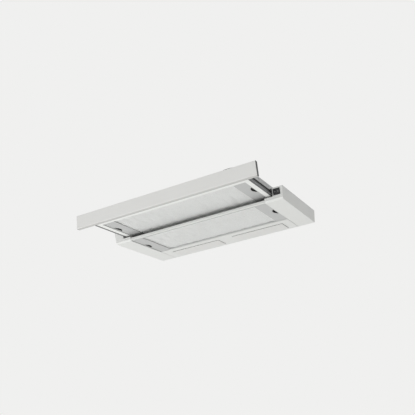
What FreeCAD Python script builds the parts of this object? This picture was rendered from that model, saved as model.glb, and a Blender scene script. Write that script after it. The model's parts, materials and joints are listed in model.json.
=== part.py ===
import FreeCAD, Part
import math
import os
import Sketcher
from types import SimpleNamespace

# A telescopic built-in cooker hood, drawn out as in use.
# The origin lies on the wall face, on the hood's centre line, level with the underside of the
# cabinet that it hangs from. +X is the user's right, -Y is towards the user, +Z is up.

vector = FreeCAD.Vector
doc = FreeCAD.newDocument("cooker_hood")
sheet = doc.addObject("Spreadsheet::Sheet", "sizes")

driving = {
    # shared
    "gauge": 1.0,               # sheet metal
    "seat_gap": 0.3,            # between pieces that seat on each other
    "overrun": 2.0,             # cuts run past the faces that they open
    # lower frame, the tray under the cabinet
    "frame_width": 597.4,
    "frame_draft": 4.7,         # each side wall leans in by this towards the bottom
    "frame_depth": 281.0,
    "frame_height": 40.0,
    "frame_wall": 2.0,
    "front_wall": 6.5,
    "block_width": 33.7,        # corner block, from the frame's side to the drawer's bay
    "ledge_width": 27.0,        # from the bay's side to the well that holds the filter and lamp panel
    "slide_space": 9.0,         # between the bay's side and the drawer
    "ledge_height": 14.0,
    "rail_height": 10.0,
    "corner_bevel": 5.5,        # along the foot of the two corner blocks
    "rail_setback": 1.5,        # the front rail's face lies behind the blocks'
    "rail_round": 1.5,
    "boss_radius": 5.0,
    "boss_bore": 1.7,
    "screw_inset": 17.7,        # the four screws that come down through the cabinet base
    "screw_front": 56.0,
    "screw_back": 35.0,
    "screw_hole": 2.1,
    "housing_seat": 0.3,        # pressed into the top plate under the motor housing
    "air_margin": 14.0,         # top plate left standing inside the motor housing
    # motor housing inside the cabinet, built round the blower
    "front_space": 28.0,        # from the scroll case to the housing's walls
    "side_space": 3.0,
    "outlet_space": 5.5,
    "lid_space": 9.5,           # over the motor
    "box_round": 3.0,
    "box_flange": 11.0,
    "lid_lip": 9.0,
    "rear_drop": 36.0,          # how far the rear panel reaches down into the tray
    # duct collar and its flaps
    "collar_offset": 3.0,       # behind it lies the blower's shaft
    "collar_radius": 59.5,
    "collar_wall": 2.0,
    "collar_height": 34.0,
    "collar_flange": 9.0,
    "collar_bead": 1.0,
    "flap_level": 8.0,          # flap pin above the lid
    "flap_gauge": 1.0,
    "pin_radius": 1.5,
    "pin_play": 0.08,
    "knuckle_radius": 3.0,
    "knuckle_length": 16.0,
    # blower
    "fan_back": 125.0,          # the shaft, from the wall
    "wheel_radius": 70.0,
    "wheel_height": 45.0,
    "wheel_level": 11.0,
    "blade_depth": 13.0,
    "blade_gauge": 1.2,
    "blade_bow": 3.2,
    "blade_count": 28,
    "hub_radius": 11.0,
    "hub_height": 12.0,
    "scroll_gap": 6.5,          # round the wheel, where the scroll starts
    "scroll_growth": 14.0,
    "scroll_wall": 1.5,
    "scroll_height": 60.0,
    "outlet_margin": 15.5,      # the duct box reaches past the collar
    "passage_gap": 8.5,         # between the scroll and the duct box
    "outlet_back": 46.0,
    "tongue_rise": 13.0,        # from the scroll's tongue to the outlet's side wall
    "inlet_step": 7.0,          # the throat is narrower than the wheel inside its blades
    "inlet_wall": 1.2,
    "inlet_flange": 9.0,
    "inlet_lip": 8.0,
    "motor_radius": 43.0,
    "motor_height": 40.0,
    "motor_foot": 8.0,
    "shaft_radius": 4.0,
    "shaft_play": 0.08,
    "mount_radius": 6.0,
    "mount_height": 5.0,
    "mount_circle": 34.0,
    "mount_count": 3,
    # electrics
    "capacitor_radius": 15.0,
    "capacitor_length": 56.0,
    "terminal_width": 76.0,
    "terminal_depth": 34.0,
    "terminal_height": 32.0,
    "terminal_wall": 2.0,
    "terminal_side": 62.0,
    "terminal_drop": 9.0,
    "gland_radius": 8.0,
    "gland_bore": 3.8,
    "gland_height": 14.0,
    "nut_radius": 11.5,
    "nut_height": 5.0,
    # drawer
    "shut_gap": 1.0,            # between the panel and the frame, drawer shut
    "travel_extra": 2.0,        # the drawer comes out by its filter's depth and this
    "drawer_height": 20.0,
    "drawer_head": 1.5,
    "side_width": 14.0,
    "side_tail": 28.7,          # the side members and the slides run on behind the filter
    "side_lip": 10.0,
    "rail_depth": 39.0,         # front cross rail behind the panel
    "rear_rail_depth": 8.0,
    "cover_short": 24.3,        # the top cover ends before the filter does
    "panel_overhang": 0.3,      # past the frame, at each end
    "panel_depth": 12.0,
    "panel_height": 43.0,
    "panel_top": 10.5,
    "panel_wall": 1.5,
    "panel_lip": 4.0,
    "panel_round": 3.0,
    "cap_thickness": 1.5,
    "cap_plug": 8.0,
    # ball slides
    "slide_gauge": 1.2,
    "slide_height": 14.0,
    "slide_flange": 6.4,
    "slide_web_gap": 1.2,
    "race_radius": 1.5,
    "race_play": 0.05,
    "cage_gauge": 0.6,
    "cage_length": 56.0,
    "slide_front_gap": 2.0,
    "slide_rear": 40.0,
    "balls_in_row": 3,
    # filters
    "filter_height": 9.0,
    "filter_end": 37.5,
    "filter_lip": 4.0,
    "hem_height": 1.0,          # the window's edge is folded back on itself
    "filter_back": 99.0,
    "filter_play": 1.5,
    "filter_recess": 2.0,       # filters and front rail lie above what frames them
    "mesh_height": 5.5,
    "mesh_overlap": 3.0,
    "latch_length": 44.0,
    "latch_sagitta": 10.0,
    "latch_inset": 2.5,
    "latch_plate_length": 60.0,
    "latch_plate_width": 24.0,
    "latch_height": 5.0,
    "tongue_width": 14.0,
    "tongue_height": 2.0,
    "tongue_reach": 4.6,
    "tongue_play": 0.5,
    "latch_forward": 15.0,      # the drawer's latches, ahead of its filter's middle
    # lamps
    "lamp_sheet": 1.5,
    "lamp_wall_height": 8.0,
    "lamp_inner": 25.0,
    "lamp_end": 30.0,           # from the lamp window to the well's side
    "lamp_back": 12.0,
    "lamp_depth": 60.0,
    "lamp_round": 4.0,
    "lamp_gap": 0.8,            # round each cover in its window
    "lamp_flange": 3.0,
    "lamp_proud": 1.5,          # the covers stand out below their panel
    "holder_length": 22.0,
    "holder_width": 30.0,
    "holder_height": 31.0,
    "bulb_radius": 13.0,
    "bulb_length": 80.0,
    "bulb_cap_radius": 7.0,
    "bulb_cap_length": 18.0,
    "bulb_tip": 2.0,
    "lamp_axis": 18.5,
    # control on the right corner block
    "switch_width": 20.0,
    "switch_height": 18.0,
    "switch_inset": 3.0,
    "switch_drop": 5.0,
    "switch_depth": 26.0,
    "bezel_rim": 1.0,
    "bezel_proud": 0.7,
    "rocker_width": 7.6,
    "rocker_height": 13.2,
    "rocker_depth": 5.0,
    "rocker_proud": 1.6,
    "rocker_play": 0.6,
    "rocker_spacing": 9.2,
    "rocker_tilt": 7.0,
    "rocker_pin": 1.0,
    "rocker_pin_reach": 0.4,
    # drawer microswitch
    "micro_width": 12.0,
    "micro_depth": 20.0,
    "micro_height": 14.0,
    "micro_plunger": 1.8,
    "micro_level": 9.0,
    "micro_reach": 3.4,
    "micro_bore": 10.0,
    "micro_play": 0.08,
}

for row, (name, value) in enumerate(driving.items(), start=1):
    sheet.set(f"A{row}", name)
    sheet.set(f"B{row}", str(value))
    sheet.setAlias(f"B{row}", name)
doc.recompute()


def number(value):
    return value.number if isinstance(value, Length) else float(value)


def words(value):
    return value.words if isinstance(value, Length) else str(value)


class Length:
    """A number worked out from the sheet, with the words that bind a property to it."""

    def __init__(self, amount, wording):
        self.number = float(amount)
        self.words = wording

    def __add__(self, other):
        return Length(self.number + number(other), f"({self.words} + {words(other)})")

    def __radd__(self, other):
        return Length(number(other) + self.number, f"({words(other)} + {self.words})")

    def __sub__(self, other):
        return Length(self.number - number(other), f"({self.words} - {words(other)})")

    def __rsub__(self, other):
        return Length(number(other) - self.number, f"({words(other)} - {self.words})")

    def __mul__(self, other):
        return Length(self.number * number(other), f"({self.words} * {words(other)})")

    def __rmul__(self, other):
        return self * other

    def __truediv__(self, other):
        return Length(self.number / number(other), f"({self.words} / {words(other)})")

    def __neg__(self):
        return Length(-self.number, f"(-{self.words})")


s = SimpleNamespace(**{name: Length(getattr(sheet, name), f"sizes.{name}") for name in driving})


# How close two places are that count as the same
same_place = 0.01


# Helpers for bodies, sketches and features

def bind(thing, path, value):
    if isinstance(value, Length):
        thing.setExpression(path, value.words)


def place(thing, x=0, y=0, z=0):
    thing.Placement.Base = vector(number(x), number(y), number(z))
    for axis, value in (("x", x), ("y", y), ("z", z)):
        bind(thing, f"Placement.Base.{axis}", value)


def new_body(label):
    body = doc.addObject("PartDesign::Body", label)
    body.Label = label
    return body


def sketch_on(body, plane, name, level=0):
    """An empty sketch on one of the body's own planes: XY looks up, XZ to the user, YZ right."""
    sketch = body.newObject("Sketcher::SketchObject", f"{body.Name}_{name}")
    base = next(f for f in body.Origin.OriginFeatures if f.Role == f"{plane}_Plane")
    sketch.AttachmentSupport = [(base, "")]
    sketch.MapMode = "FlatFace"
    sketch.AttachmentOffset = FreeCAD.Placement(vector(0, 0, number(level)), FreeCAD.Rotation())
    bind(sketch, "AttachmentOffset.Base.z", level)
    return sketch


def pin_down(sketch, side, end, x, y):
    """Holds one end of a side at a place measured from the origin."""
    for kind, line, value in (("DistanceX", -2, x), ("DistanceY", -1, y)):
        if number(value) == 0:
            sketch.addConstraint(Sketcher.Constraint("PointOnObject", side, end, line))
            continue
        index = sketch.addConstraint(Sketcher.Constraint(kind, -1, 1, side, end, number(value)))
        bind(sketch, f"Constraints[{index}]", value)


def add_side(sketch, here, there):
    """Draws one side and says which of its ends is its start. A third value bows the side."""
    start = vector(number(here[0]), number(here[1]), 0)
    end = vector(number(there[0]), number(there[1]), 0)
    if len(here) == 2:
        sketch.addGeometry(Part.LineSegment(start, end))
        return (1, 2), None
    bow = here[2]
    turn = 1 if number(bow) > 0 else -1
    chord_x, chord_y = there[0] - here[0], there[1] - here[1]
    rise = bow if turn > 0 else -bow
    radius = (chord_x * chord_x + chord_y * chord_y) / (8 * rise) + rise / 2
    along = (end - start).normalize()
    inward = vector(-along.y, along.x, 0) * turn
    centre = (start + end) / 2 + inward * (number(radius) - number(rise))
    first, last = (start, end) if turn > 0 else (end, start)
    angles = [math.atan2(p.y - centre.y, p.x - centre.x) for p in (first, last)]
    circle = Part.Circle(centre, vector(0, 0, 1), number(radius))
    sketch.addGeometry(Part.ArcOfCircle(circle, *angles))
    return ((1, 2) if turn > 0 else (2, 1)), radius


def outline(sketch, corners):
    """A closed outline, drawn anticlockwise. A corner's third value bows the side after it."""
    first = sketch.GeometryCount
    count = len(corners)
    ends = []
    for index, corner in enumerate(corners):
        order, radius = add_side(sketch, corner, corners[(index + 1) % count])
        ends.append(order)
        if radius is not None:
            held = Sketcher.Constraint("Radius", first + index, number(radius))
            bind(sketch, f"Constraints[{sketch.addConstraint(held)}]", radius)
    for index, corner in enumerate(corners):
        before = (index - 1) % count
        sketch.addConstraint(Sketcher.Constraint(
            "Coincident", first + before, ends[before][1], first + index, ends[index][0]))
        pin_down(sketch, first + index, ends[index][0], corner[0], corner[1])
    return sketch


def rectangle(sketch, left, right, low, high):
    return outline(sketch, [(left, low), (right, low), (right, high), (left, high)])


def circle(sketch, radius, x=0, y=0):
    index = sketch.addGeometry(Part.Circle(vector(number(x), number(y), 0), vector(0, 0, 1), number(radius)))
    pin_down(sketch, index, 3, x, y)
    held = sketch.addConstraint(Sketcher.Constraint("Radius", index, number(radius)))
    bind(sketch, f"Constraints[{held}]", radius)
    return sketch


def feature(body, kind, sketch, length, reverse):
    made = body.newObject(f"PartDesign::{kind}", f"{sketch.Name}_{kind.lower()}")
    made.Profile = sketch
    made.Reversed = reverse
    made.Length = number(length)
    bind(made, "Length", length)
    sketch.Visibility = False
    return made


def pad(body, sketch, length):
    return feature(body, "Pad", sketch, length, False)


def cut(body, sketch, length):
    """A pocket that goes the way its sketch faces."""
    doc.recompute()
    before = body.Shape.Volume
    made = feature(body, "Pocket", sketch, length, True)
    doc.recompute()
    if body.Shape.Volume >= before:
        raise RuntimeError(f"{made.Name} cuts nothing")
    return made


def revolve(body, sketch, axis="V_Axis"):
    made = body.newObject("PartDesign::Revolution", f"{sketch.Name}_revolution")
    made.Profile = sketch
    made.ReferenceAxis = (sketch, [axis])
    made.Angle = 360
    return made


def round_edges(body, chosen, radius, kind="Fillet"):
    """Rounds or bevels the edges of the body that the test chooses."""
    doc.recompute()
    base = body.Tip
    names = [f"Edge{i}" for i, edge in enumerate(base.Shape.Edges, start=1) if chosen(edge)]
    if not names:
        raise RuntimeError(f"{body.Name} has no edge to round")
    made = body.newObject(f"PartDesign::{kind}", f"{body.Name}_{kind.lower()}_{len(body.Group)}")
    made.Base = (base, names)
    path = "Radius" if kind == "Fillet" else "Size"
    setattr(made, path, number(radius))
    bind(made, path, radius)
    return made


def near(found, wanted):
    return abs(found - number(wanted)) < same_place


def runs_along(edge, axis):
    if not isinstance(edge.Curve, (Part.Line, Part.LineSegment)):
        return False
    return abs(getattr(edge.tangentAt(edge.FirstParameter), axis)) > 0.999


def upright_at(x, y):
    """Chooses the upright edges at plus or minus x and at one of the given y places."""
    def chosen(edge):
        middle = edge.CenterOfMass
        return (runs_along(edge, "z") and near(abs(middle.x), x)
                and any(near(middle.y, place_y) for place_y in y))
    return chosen


def mirrored(source, label):
    made = doc.addObject("Part::Mirroring", label)
    made.Label = label
    made.Source = source
    made.Normal = vector(1, 0, 0)
    return made


def solid(kind, label, **lengths):
    """A Part primitive with its lengths bound."""
    made = doc.addObject(f"Part::{kind}", label)
    made.Label = label
    for name, value in lengths.items():
        setattr(made, name, number(value))
        bind(made, name, value)
    return made


parts = []


def keep(*made):
    parts.extend(made)


# Places that several pieces share

half_frame = s.frame_width / 2
half_bottom = half_frame - s.frame_draft
half_bay = half_frame - s.block_width
half_well = half_bay - s.ledge_width
half_drawer = half_bay - s.slide_space
scroll_start = s.wheel_radius + s.scroll_gap
inlet_radius = s.wheel_radius - s.blade_depth - s.inlet_step
half_outlet = s.collar_radius + s.outlet_margin
fan_side = s.side_space + s.scroll_wall + scroll_start + s.scroll_growth
fan_to_collar = scroll_start + s.passage_gap + 2 * s.scroll_wall + half_outlet
collar_side = half_outlet + s.scroll_wall + s.outlet_space
half_box = (fan_side + fan_to_collar + collar_side) / 2
box_depth = s.fan_back + scroll_start + s.scroll_growth + s.scroll_wall + s.front_space
ledge_top = s.ledge_height - s.frame_height
rail_top = s.rail_height - s.frame_height
floor_top = s.frame_wall - s.frame_height
drawer_floor = -s.drawer_height
drawer_top = -s.drawer_head
filter_depth = s.frame_depth - s.front_wall - s.filter_back - s.filter_play
travel = filter_depth + s.travel_extra
panel_back = s.frame_depth + s.shut_gap + travel
reach = panel_back + s.panel_depth
rail_back = panel_back - s.rail_depth
inner_side = half_drawer - s.side_width
rail_front = s.frame_depth - s.rail_setback
screw_places = [(x, y) for x in (s.screw_inset - half_frame, half_frame - s.screw_inset)
                for y in (-s.screw_back, s.screw_front - s.frame_depth)]
housing_level = -s.housing_seat
scroll_floor = housing_level + s.gauge + s.seat_gap
scroll_roof = scroll_floor + s.scroll_height
motor_low = scroll_roof + s.scroll_wall + s.mount_height
motor_top = motor_low + s.motor_height
lid_top = motor_top + s.lid_space + s.gauge
fan_x = half_box - fan_side
collar_x, collar_back = half_box - collar_side, s.fan_back - s.collar_offset
terminal_x = half_box - s.terminal_side
filter_front = rail_back - s.seat_gap
drawer_filter_back = filter_front - filter_depth
drawer_filter_low = drawer_floor + s.filter_recess
rear_filter_low = s.filter_recess - s.frame_height
side_back = drawer_filter_back - s.side_tail
lamp_outer = half_well - s.lamp_end

# The control's opening, measured from the bay's wall in the right corner block
switch_left = half_bay + s.switch_inset
switch_right = switch_left + s.switch_width
switch_high = -s.switch_drop
switch_low = switch_high - s.switch_height

# A latch tongue's height above the underside of its filter
tongue_low = s.gauge + s.filter_height / 3
tongue_high = tongue_low + s.tongue_height

# The terminal box hangs on the rear panel, and the gland enters the lid above it
terminal_y = -s.gauge - s.seat_gap
gland_y = terminal_y - s.terminal_depth / 2

# A closed flap rests on the collar's inner step, just below its pin
flap_top = s.flap_level - s.pin_radius - s.seat_gap
flap_seat = flap_top - s.flap_gauge - s.seat_gap


# Lower frame: side blocks, front rail and rear wall, moulded in one

def make_lower_frame():
    body = new_body("lower_frame")
    pad(body, outline(sketch_on(body, "XZ", "section"), [
        (-half_bottom, -s.frame_height),
        (half_bottom, -s.frame_height),
        (half_frame, -s.gauge),
        (-half_frame, -s.gauge),
    ]), s.frame_depth)
    cut(body, rectangle(
        sketch_on(body, "XY", "well", -s.frame_height - s.overrun),
        -half_well, half_well, s.front_wall - s.frame_depth, -s.frame_wall), s.frame_height + s.overrun)
    cut(body, outline(sketch_on(body, "XZ", "drawer_bay", s.frame_wall), [
        (-half_bay, ledge_top),
        (-half_well, ledge_top),
        (-half_well, rail_top),
        (half_well, rail_top),
        (half_well, ledge_top),
        (half_bay, ledge_top),
        (half_bay, s.overrun),
        (-half_bay, s.overrun),
    ]), s.frame_depth)
    for side in (1, -1):
        corners = [
            (side * (half_well + s.frame_wall), floor_top),
            (side * (half_bottom - s.frame_wall), floor_top),
            (side * (half_frame - s.frame_wall), -s.gauge),
            (side * (half_frame - s.frame_wall), s.overrun),
            (side * (half_bay + s.frame_wall), s.overrun),
            (side * (half_bay + s.frame_wall), ledge_top - s.frame_wall),
            (side * (half_well + s.frame_wall), ledge_top - s.frame_wall),
        ]
        name = "right_hollow" if side > 0 else "left_hollow"
        cut(body, outline(sketch_on(body, "XZ", name, s.frame_wall), corners[::side]),
            s.frame_depth - s.front_wall - s.frame_wall)
    cut(body, rectangle(
        sketch_on(body, "XZ", "rear_recess"),
        -half_box - s.seat_gap, half_box + s.seat_gap, -s.rear_drop - s.seat_gap, s.overrun), s.gauge)
    bosses = sketch_on(body, "XY", "bosses", floor_top - s.frame_wall / 2)
    bores = sketch_on(body, "XY", "boss_bores", floor_top)
    for x, y in screw_places:
        circle(bosses, s.boss_radius, x, y)
        circle(bores, s.boss_bore, x, y)
    pad(body, bosses, -floor_top + s.frame_wall / 2 - s.gauge)
    cut(body, bores, -floor_top)
    cut(body, rectangle(
        sketch_on(body, "XZ", "switch_hole", s.frame_depth - s.front_wall - s.overrun),
        switch_left, switch_right, switch_low, switch_high), s.front_wall + 2 * s.overrun)
    tongues = sketch_on(body, "YZ", "latch_slots", -half_well - s.frame_wall - s.seat_gap)
    middle = rear_latch - s.filter_back
    half_slot = s.tongue_width / 2 + s.tongue_play
    rectangle(tongues, middle - half_slot, middle + half_slot,
              rear_filter_low + tongue_low - s.seat_gap, rear_filter_low + tongue_high + s.seat_gap)
    cut(body, tongues, 2 * half_well + 2 * (s.frame_wall + s.seat_gap))
    cut(body, rectangle(
        sketch_on(body, "XY", "rail_setback", -s.frame_height - s.overrun),
        -half_well, half_well, -s.frame_depth - s.overrun, -rail_front), s.frame_height + s.overrun)
    cut(body, rectangle(
        sketch_on(body, "XY", "rail_rise", -s.frame_height - s.overrun),
        -half_well, half_well, -s.frame_depth - s.overrun, s.front_wall + s.overrun - s.frame_depth),
        s.filter_recess + s.overrun)
    for name, start in (("left_bevel", -half_frame), ("right_bevel", half_well)):
        cut(body, outline(sketch_on(body, "YZ", name, start), [
            (-s.frame_depth - s.overrun, -s.frame_height - s.overrun),
            (s.corner_bevel + s.overrun - s.frame_depth, -s.frame_height - s.overrun),
            (-s.frame_depth - s.overrun, s.corner_bevel + s.overrun - s.frame_height),
        ]), half_frame - half_well)
    round_edges(body, lambda e: (
        runs_along(e, "x") and near(e.CenterOfMass.y, -rail_front)
        and near(e.CenterOfMass.z, rear_filter_low)), s.rail_round)
    keep(body)


def make_top_plate():
    body = new_body("top_plate")
    pad(body, rectangle(
        sketch_on(body, "XY", "blank", -s.gauge),
        -half_frame, half_frame, -s.frame_depth, 0), s.gauge)
    openings = sketch_on(body, "XY", "openings", -s.gauge - s.overrun)
    rectangle(openings, s.air_margin - half_box, half_box - s.air_margin,
              s.air_margin - box_depth, -s.air_margin - s.gauge)
    for x, y in screw_places:
        circle(openings, s.screw_hole, x, y)
    cut(body, openings, s.gauge + 2 * s.overrun)
    cut(body, rectangle(
        sketch_on(body, "XY", "rear_notch", -s.gauge - s.overrun),
        -half_box - s.seat_gap, half_box + s.seat_gap, -s.gauge, s.overrun), s.gauge + 2 * s.overrun)
    cut(body, rectangle(
        sketch_on(body, "XY", "housing_seat", housing_level),
        -half_box - s.seat_gap, half_box + s.seat_gap, -box_depth - s.seat_gap, -s.gauge), s.overrun)
    keep(body)


# Motor housing: one folded sheet for the front and sides, a rear panel and a lid

def make_housing():
    body = new_body("housing_wrap")
    front = -box_depth
    pad(body, outline(sketch_on(body, "XY", "wrap", housing_level), [
        (-half_box, front), (half_box, front), (half_box, -s.gauge), (half_box - s.gauge, -s.gauge),
        (half_box - s.gauge, front + s.gauge), (s.gauge - half_box, front + s.gauge),
        (s.gauge - half_box, -s.gauge), (-half_box, -s.gauge),
    ]), lid_top - s.gauge - housing_level)
    round_edges(body, upright_at(half_box, [front]), s.box_round)
    round_edges(body, upright_at(half_box - s.gauge, [front + s.gauge]), s.box_round - s.gauge)
    inner = s.box_flange
    pad(body, outline(sketch_on(body, "XY", "flange", housing_level), [
        (s.gauge - half_box, s.gauge - box_depth), (half_box - s.gauge, s.gauge - box_depth),
        (half_box - s.gauge, -s.gauge), (half_box - inner, -s.gauge),
        (half_box - inner, inner - box_depth), (inner - half_box, inner - box_depth),
        (inner - half_box, -s.gauge), (s.gauge - half_box, -s.gauge),
    ]), s.gauge)
    keep(body)

    rear = new_body("rear_panel")
    pad(rear, rectangle(
        sketch_on(rear, "XZ", "blank"), -half_box, half_box, -s.rear_drop, lid_top - s.gauge), s.gauge)
    keep(rear)

    lid = new_body("housing_lid")
    pad(lid, rectangle(
        sketch_on(lid, "XY", "blank", lid_top - s.gauge), -half_box, half_box, front, 0), s.gauge)
    lip = s.gauge + s.seat_gap
    inside = lip + s.gauge
    lips = sketch_on(lid, "XY", "lips", lid_top - s.gauge - s.lid_lip)
    rectangle(lips, lip - half_box + s.box_round, half_box - s.box_round - lip, front + lip, front + inside)
    rectangle(lips, lip - half_box, inside - half_box, front + lip + s.box_round, -lip)
    rectangle(lips, half_box - inside, half_box - lip, front + lip + s.box_round, -lip)
    pad(lid, lips, s.lid_lip)
    holes = sketch_on(lid, "XY", "holes", lid_top - s.gauge - s.overrun)
    circle(holes, s.collar_radius - s.collar_wall, collar_x, -collar_back)
    circle(holes, s.gland_radius, -terminal_x, gland_y)
    cut(lid, holes, s.gauge + 2 * s.overrun)
    round_edges(lid, upright_at(half_box, [front]), s.box_round)
    keep(lid)


def make_collar():
    inner = s.collar_radius - s.collar_wall
    body = new_body("duct_collar")
    revolve(body, outline(sketch_on(body, "XZ", "section"), [
        (inner - s.collar_wall, 0),
        (s.collar_radius + s.collar_flange, 0),
        (s.collar_radius + s.collar_flange, s.collar_wall),
        (s.collar_radius, s.collar_wall),
        (s.collar_radius, s.collar_height - 4 * s.collar_bead),
        (s.collar_radius, s.collar_height - 2 * s.collar_bead),
        (s.collar_radius - s.collar_bead, s.collar_height),
        (inner, s.collar_height),
        (inner, flap_seat),
        (inner - s.collar_wall, flap_seat),
    ]))
    cut(body, circle(
        sketch_on(body, "XZ", "pin_holes", -s.collar_radius - s.overrun),
        s.pin_radius + s.pin_play, 0, s.flap_level), 2 * (s.collar_radius + s.overrun))
    place(body, collar_x, -collar_back, lid_top)
    keep(body)

    pin = solid("Cylinder", "flap_pin", Radius=s.pin_radius, Height=2 * s.collar_radius)
    pin.Placement = FreeCAD.Placement(vector(), FreeCAD.Rotation(vector(1, 0, 0), 90))
    place(pin, collar_x, s.collar_radius - collar_back, lid_top + s.flap_level)
    keep(pin)

    for side, name in ((-1, "flap_left"), (1, "flap_right")):
        keep(make_flap(name, side))


def make_flap(name, side):
    """One half of the non-return flap: a half disc that hangs on two knuckles."""
    body = new_body(name)
    reach = s.collar_radius - s.collar_wall - 2 * s.seat_gap
    root = s.knuckle_radius + s.seat_gap
    half_chord = side * (reach - root / 3)
    pad(body, outline(sketch_on(body, "XY", "plate", flap_top - s.flap_gauge), [
        (side * root, -half_chord, reach - root), (side * root, half_chord),
    ]), s.flap_gauge)
    long = s.knuckle_length
    for index, start in enumerate((long / 4, -5 * long / 2)):
        rear = start + long if side < 0 else -start
        ear = circle(sketch_on(body, "XZ", f"knuckle_{index}", -rear), s.knuckle_radius, 0, s.flap_level)
        pad(body, ear, long)
        ends = [side * s.pin_radius, side * (root + s.flap_gauge)]
        web = sketch_on(body, "XZ", f"web_{index}", -rear)
        rectangle(web, *ends[::side], flap_top - s.flap_gauge, flap_top)
        pad(body, web, long)
    cut(body, circle(
        sketch_on(body, "XZ", "pin_hole", -reach), s.pin_radius + s.pin_play, 0, s.flap_level), 2 * reach)
    place(body, collar_x, -collar_back, lid_top)
    return body


# Blower: the scroll case stands on the housing's flanges, with the wheel hung from the motor

scroll_inside = scroll_floor + s.scroll_wall
wheel_low = scroll_floor + s.wheel_level
wheel_top = wheel_low + s.wheel_height
spiral_steps = 5
spiral_turn = math.radians(60)
spiral_first = math.radians(-30)
outlet_left = collar_x - half_outlet
outlet_right = collar_x + half_outlet
outlet_front = -s.fan_back - scroll_start - s.scroll_growth


def spiral(extra):
    """The scroll's curve, from its tongue round to the outlet, in arcs of a sixth of a turn."""
    corners = []
    for step in range(spiral_steps + 1):
        radius = scroll_start + s.scroll_growth * (step / spiral_steps) + extra
        angle = spiral_first + step * spiral_turn
        x = radius * math.cos(angle) - fan_x
        y = radius * math.sin(angle) - s.fan_back
        corners.append((x, y, radius * (1 - math.cos(spiral_turn / 2))))
    corners[-1] = corners[-1][:2]
    return corners


def passage(extra, right):
    """The way from the wheel to the duct box under the collar."""
    tongue_x, tongue_y = spiral(0)[0][:2]
    return [
        (-fan_x, outlet_front - extra), (right, outlet_front - extra),
        (right, tongue_y + s.tongue_rise + extra), (tongue_x, tongue_y + extra), (-fan_x, -s.fan_back),
    ]


def make_blower():
    case = new_body("scroll_case")
    wall = s.scroll_wall
    edge = half_box - s.gauge - s.seat_gap
    pad(case, rectangle(
        sketch_on(case, "XY", "floor", scroll_floor),
        -edge, edge, s.gauge + s.seat_gap - box_depth, -s.gauge - s.seat_gap), wall)
    pad(case, outline(sketch_on(case, "XY", "scroll_outside", scroll_floor), spiral(wall)), s.scroll_height)
    pad(case, outline(
        sketch_on(case, "XY", "passage_outside", scroll_floor), passage(wall, outlet_left)), s.scroll_height)
    tall = lid_top - s.gauge - s.seat_gap - scroll_floor
    pad(case, rectangle(
        sketch_on(case, "XY", "duct_outside", scroll_floor), outlet_left - wall, outlet_right + wall,
        outlet_front - wall, wall - s.outlet_back), tall)
    cut(case, outline(sketch_on(case, "XY", "scroll_inside", scroll_inside), spiral(0)), s.scroll_height)
    cut(case, outline(
        sketch_on(case, "XY", "passage_inside", scroll_inside), passage(0, outlet_left + wall)),
        s.scroll_height - 2 * wall)
    cut(case, rectangle(
        sketch_on(case, "XY", "duct_inside", scroll_inside), outlet_left, outlet_right,
        outlet_front, -s.outlet_back), tall)
    cut(case, circle(
        sketch_on(case, "XY", "inlet_hole", scroll_floor - s.overrun),
        inlet_radius + s.inlet_wall + s.seat_gap, -fan_x, -s.fan_back), wall + 2 * s.overrun)
    round_edges(case, upright_at(edge, [s.gauge + s.seat_gap - box_depth]), s.box_round - s.gauge)
    keep(case)

    cover = new_body("scroll_cover")
    pad(cover, outline(sketch_on(cover, "XY", "scroll_roof", scroll_roof), spiral(wall)), wall)
    pad(cover, outline(
        sketch_on(cover, "XY", "passage_roof", scroll_roof),
        passage(wall, outlet_left - wall - s.seat_gap)), wall)
    cut(cover, circle(
        sketch_on(cover, "XY", "shaft_hole", scroll_roof - s.overrun),
        2 * s.shaft_radius, -fan_x, -s.fan_back), wall + 2 * s.overrun)
    keep(cover)

    ring = new_body("inlet_ring")
    throat = inlet_radius
    revolve(ring, outline(sketch_on(ring, "XZ", "section"), [
        (throat + s.inlet_wall, 0), (throat + s.inlet_flange, 0),
        (throat + s.inlet_flange, s.inlet_wall), (throat + s.inlet_wall, s.inlet_wall),
        (throat + s.inlet_wall, s.inlet_lip), (throat, s.inlet_lip), (throat, s.inlet_wall),
    ]))
    place(ring, -fan_x, -s.fan_back, scroll_floor - s.seat_gap - s.inlet_wall)
    keep(ring)
    make_wheel()
    make_motor()


def make_wheel():
    """The wheel: forward-curved blades between a hub plate above and a ring below."""
    wheel = new_body("impeller")
    inner = s.wheel_radius - s.blade_depth
    sheet_top = s.wheel_height
    hub_bottom = sheet_top - s.hub_height
    revolve(wheel, outline(sketch_on(wheel, "XZ", "hub_plate"), [
        (s.shaft_radius, hub_bottom), (s.hub_radius, hub_bottom),
        (s.hub_radius, sheet_top - 3 * s.blade_gauge),
        (2 * s.hub_radius, sheet_top - s.blade_gauge),
        (s.wheel_radius, sheet_top - s.blade_gauge), (s.wheel_radius, sheet_top),
        (s.shaft_radius, sheet_top),
    ]))
    revolve(wheel, rectangle(
        sketch_on(wheel, "XZ", "ring"), inner, s.wheel_radius, 0, s.blade_gauge))
    lean = s.blade_depth / 2
    edge = s.blade_gauge
    blade = pad(wheel, outline(sketch_on(wheel, "XY", "blade", edge / 2), [
        (inner + edge / 2, 0, s.blade_bow), (s.wheel_radius - edge, lean),
        (s.wheel_radius - 2 * edge, lean + edge / 2, -s.blade_bow), (inner + edge / 2, edge),
    ]), sheet_top - edge)
    pattern = wheel.newObject("PartDesign::PolarPattern", "blades")
    pattern.Originals = [blade]
    pattern.Axis = (blade.Profile[0], ["N_Axis"])
    pattern.Angle = 360
    pattern.Occurrences = int(s.blade_count.number)
    pattern.setExpression("Occurrences", s.blade_count.words)
    wheel.Tip = pattern
    place(wheel, -fan_x, -s.fan_back, wheel_low)
    keep(wheel)

    shaft_low = wheel_top - s.hub_height
    shaft = solid("Cylinder", "motor_shaft", Radius=s.shaft_radius, Height=motor_top - shaft_low)
    place(shaft, -fan_x, -s.fan_back, shaft_low)
    keep(shaft)


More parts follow.
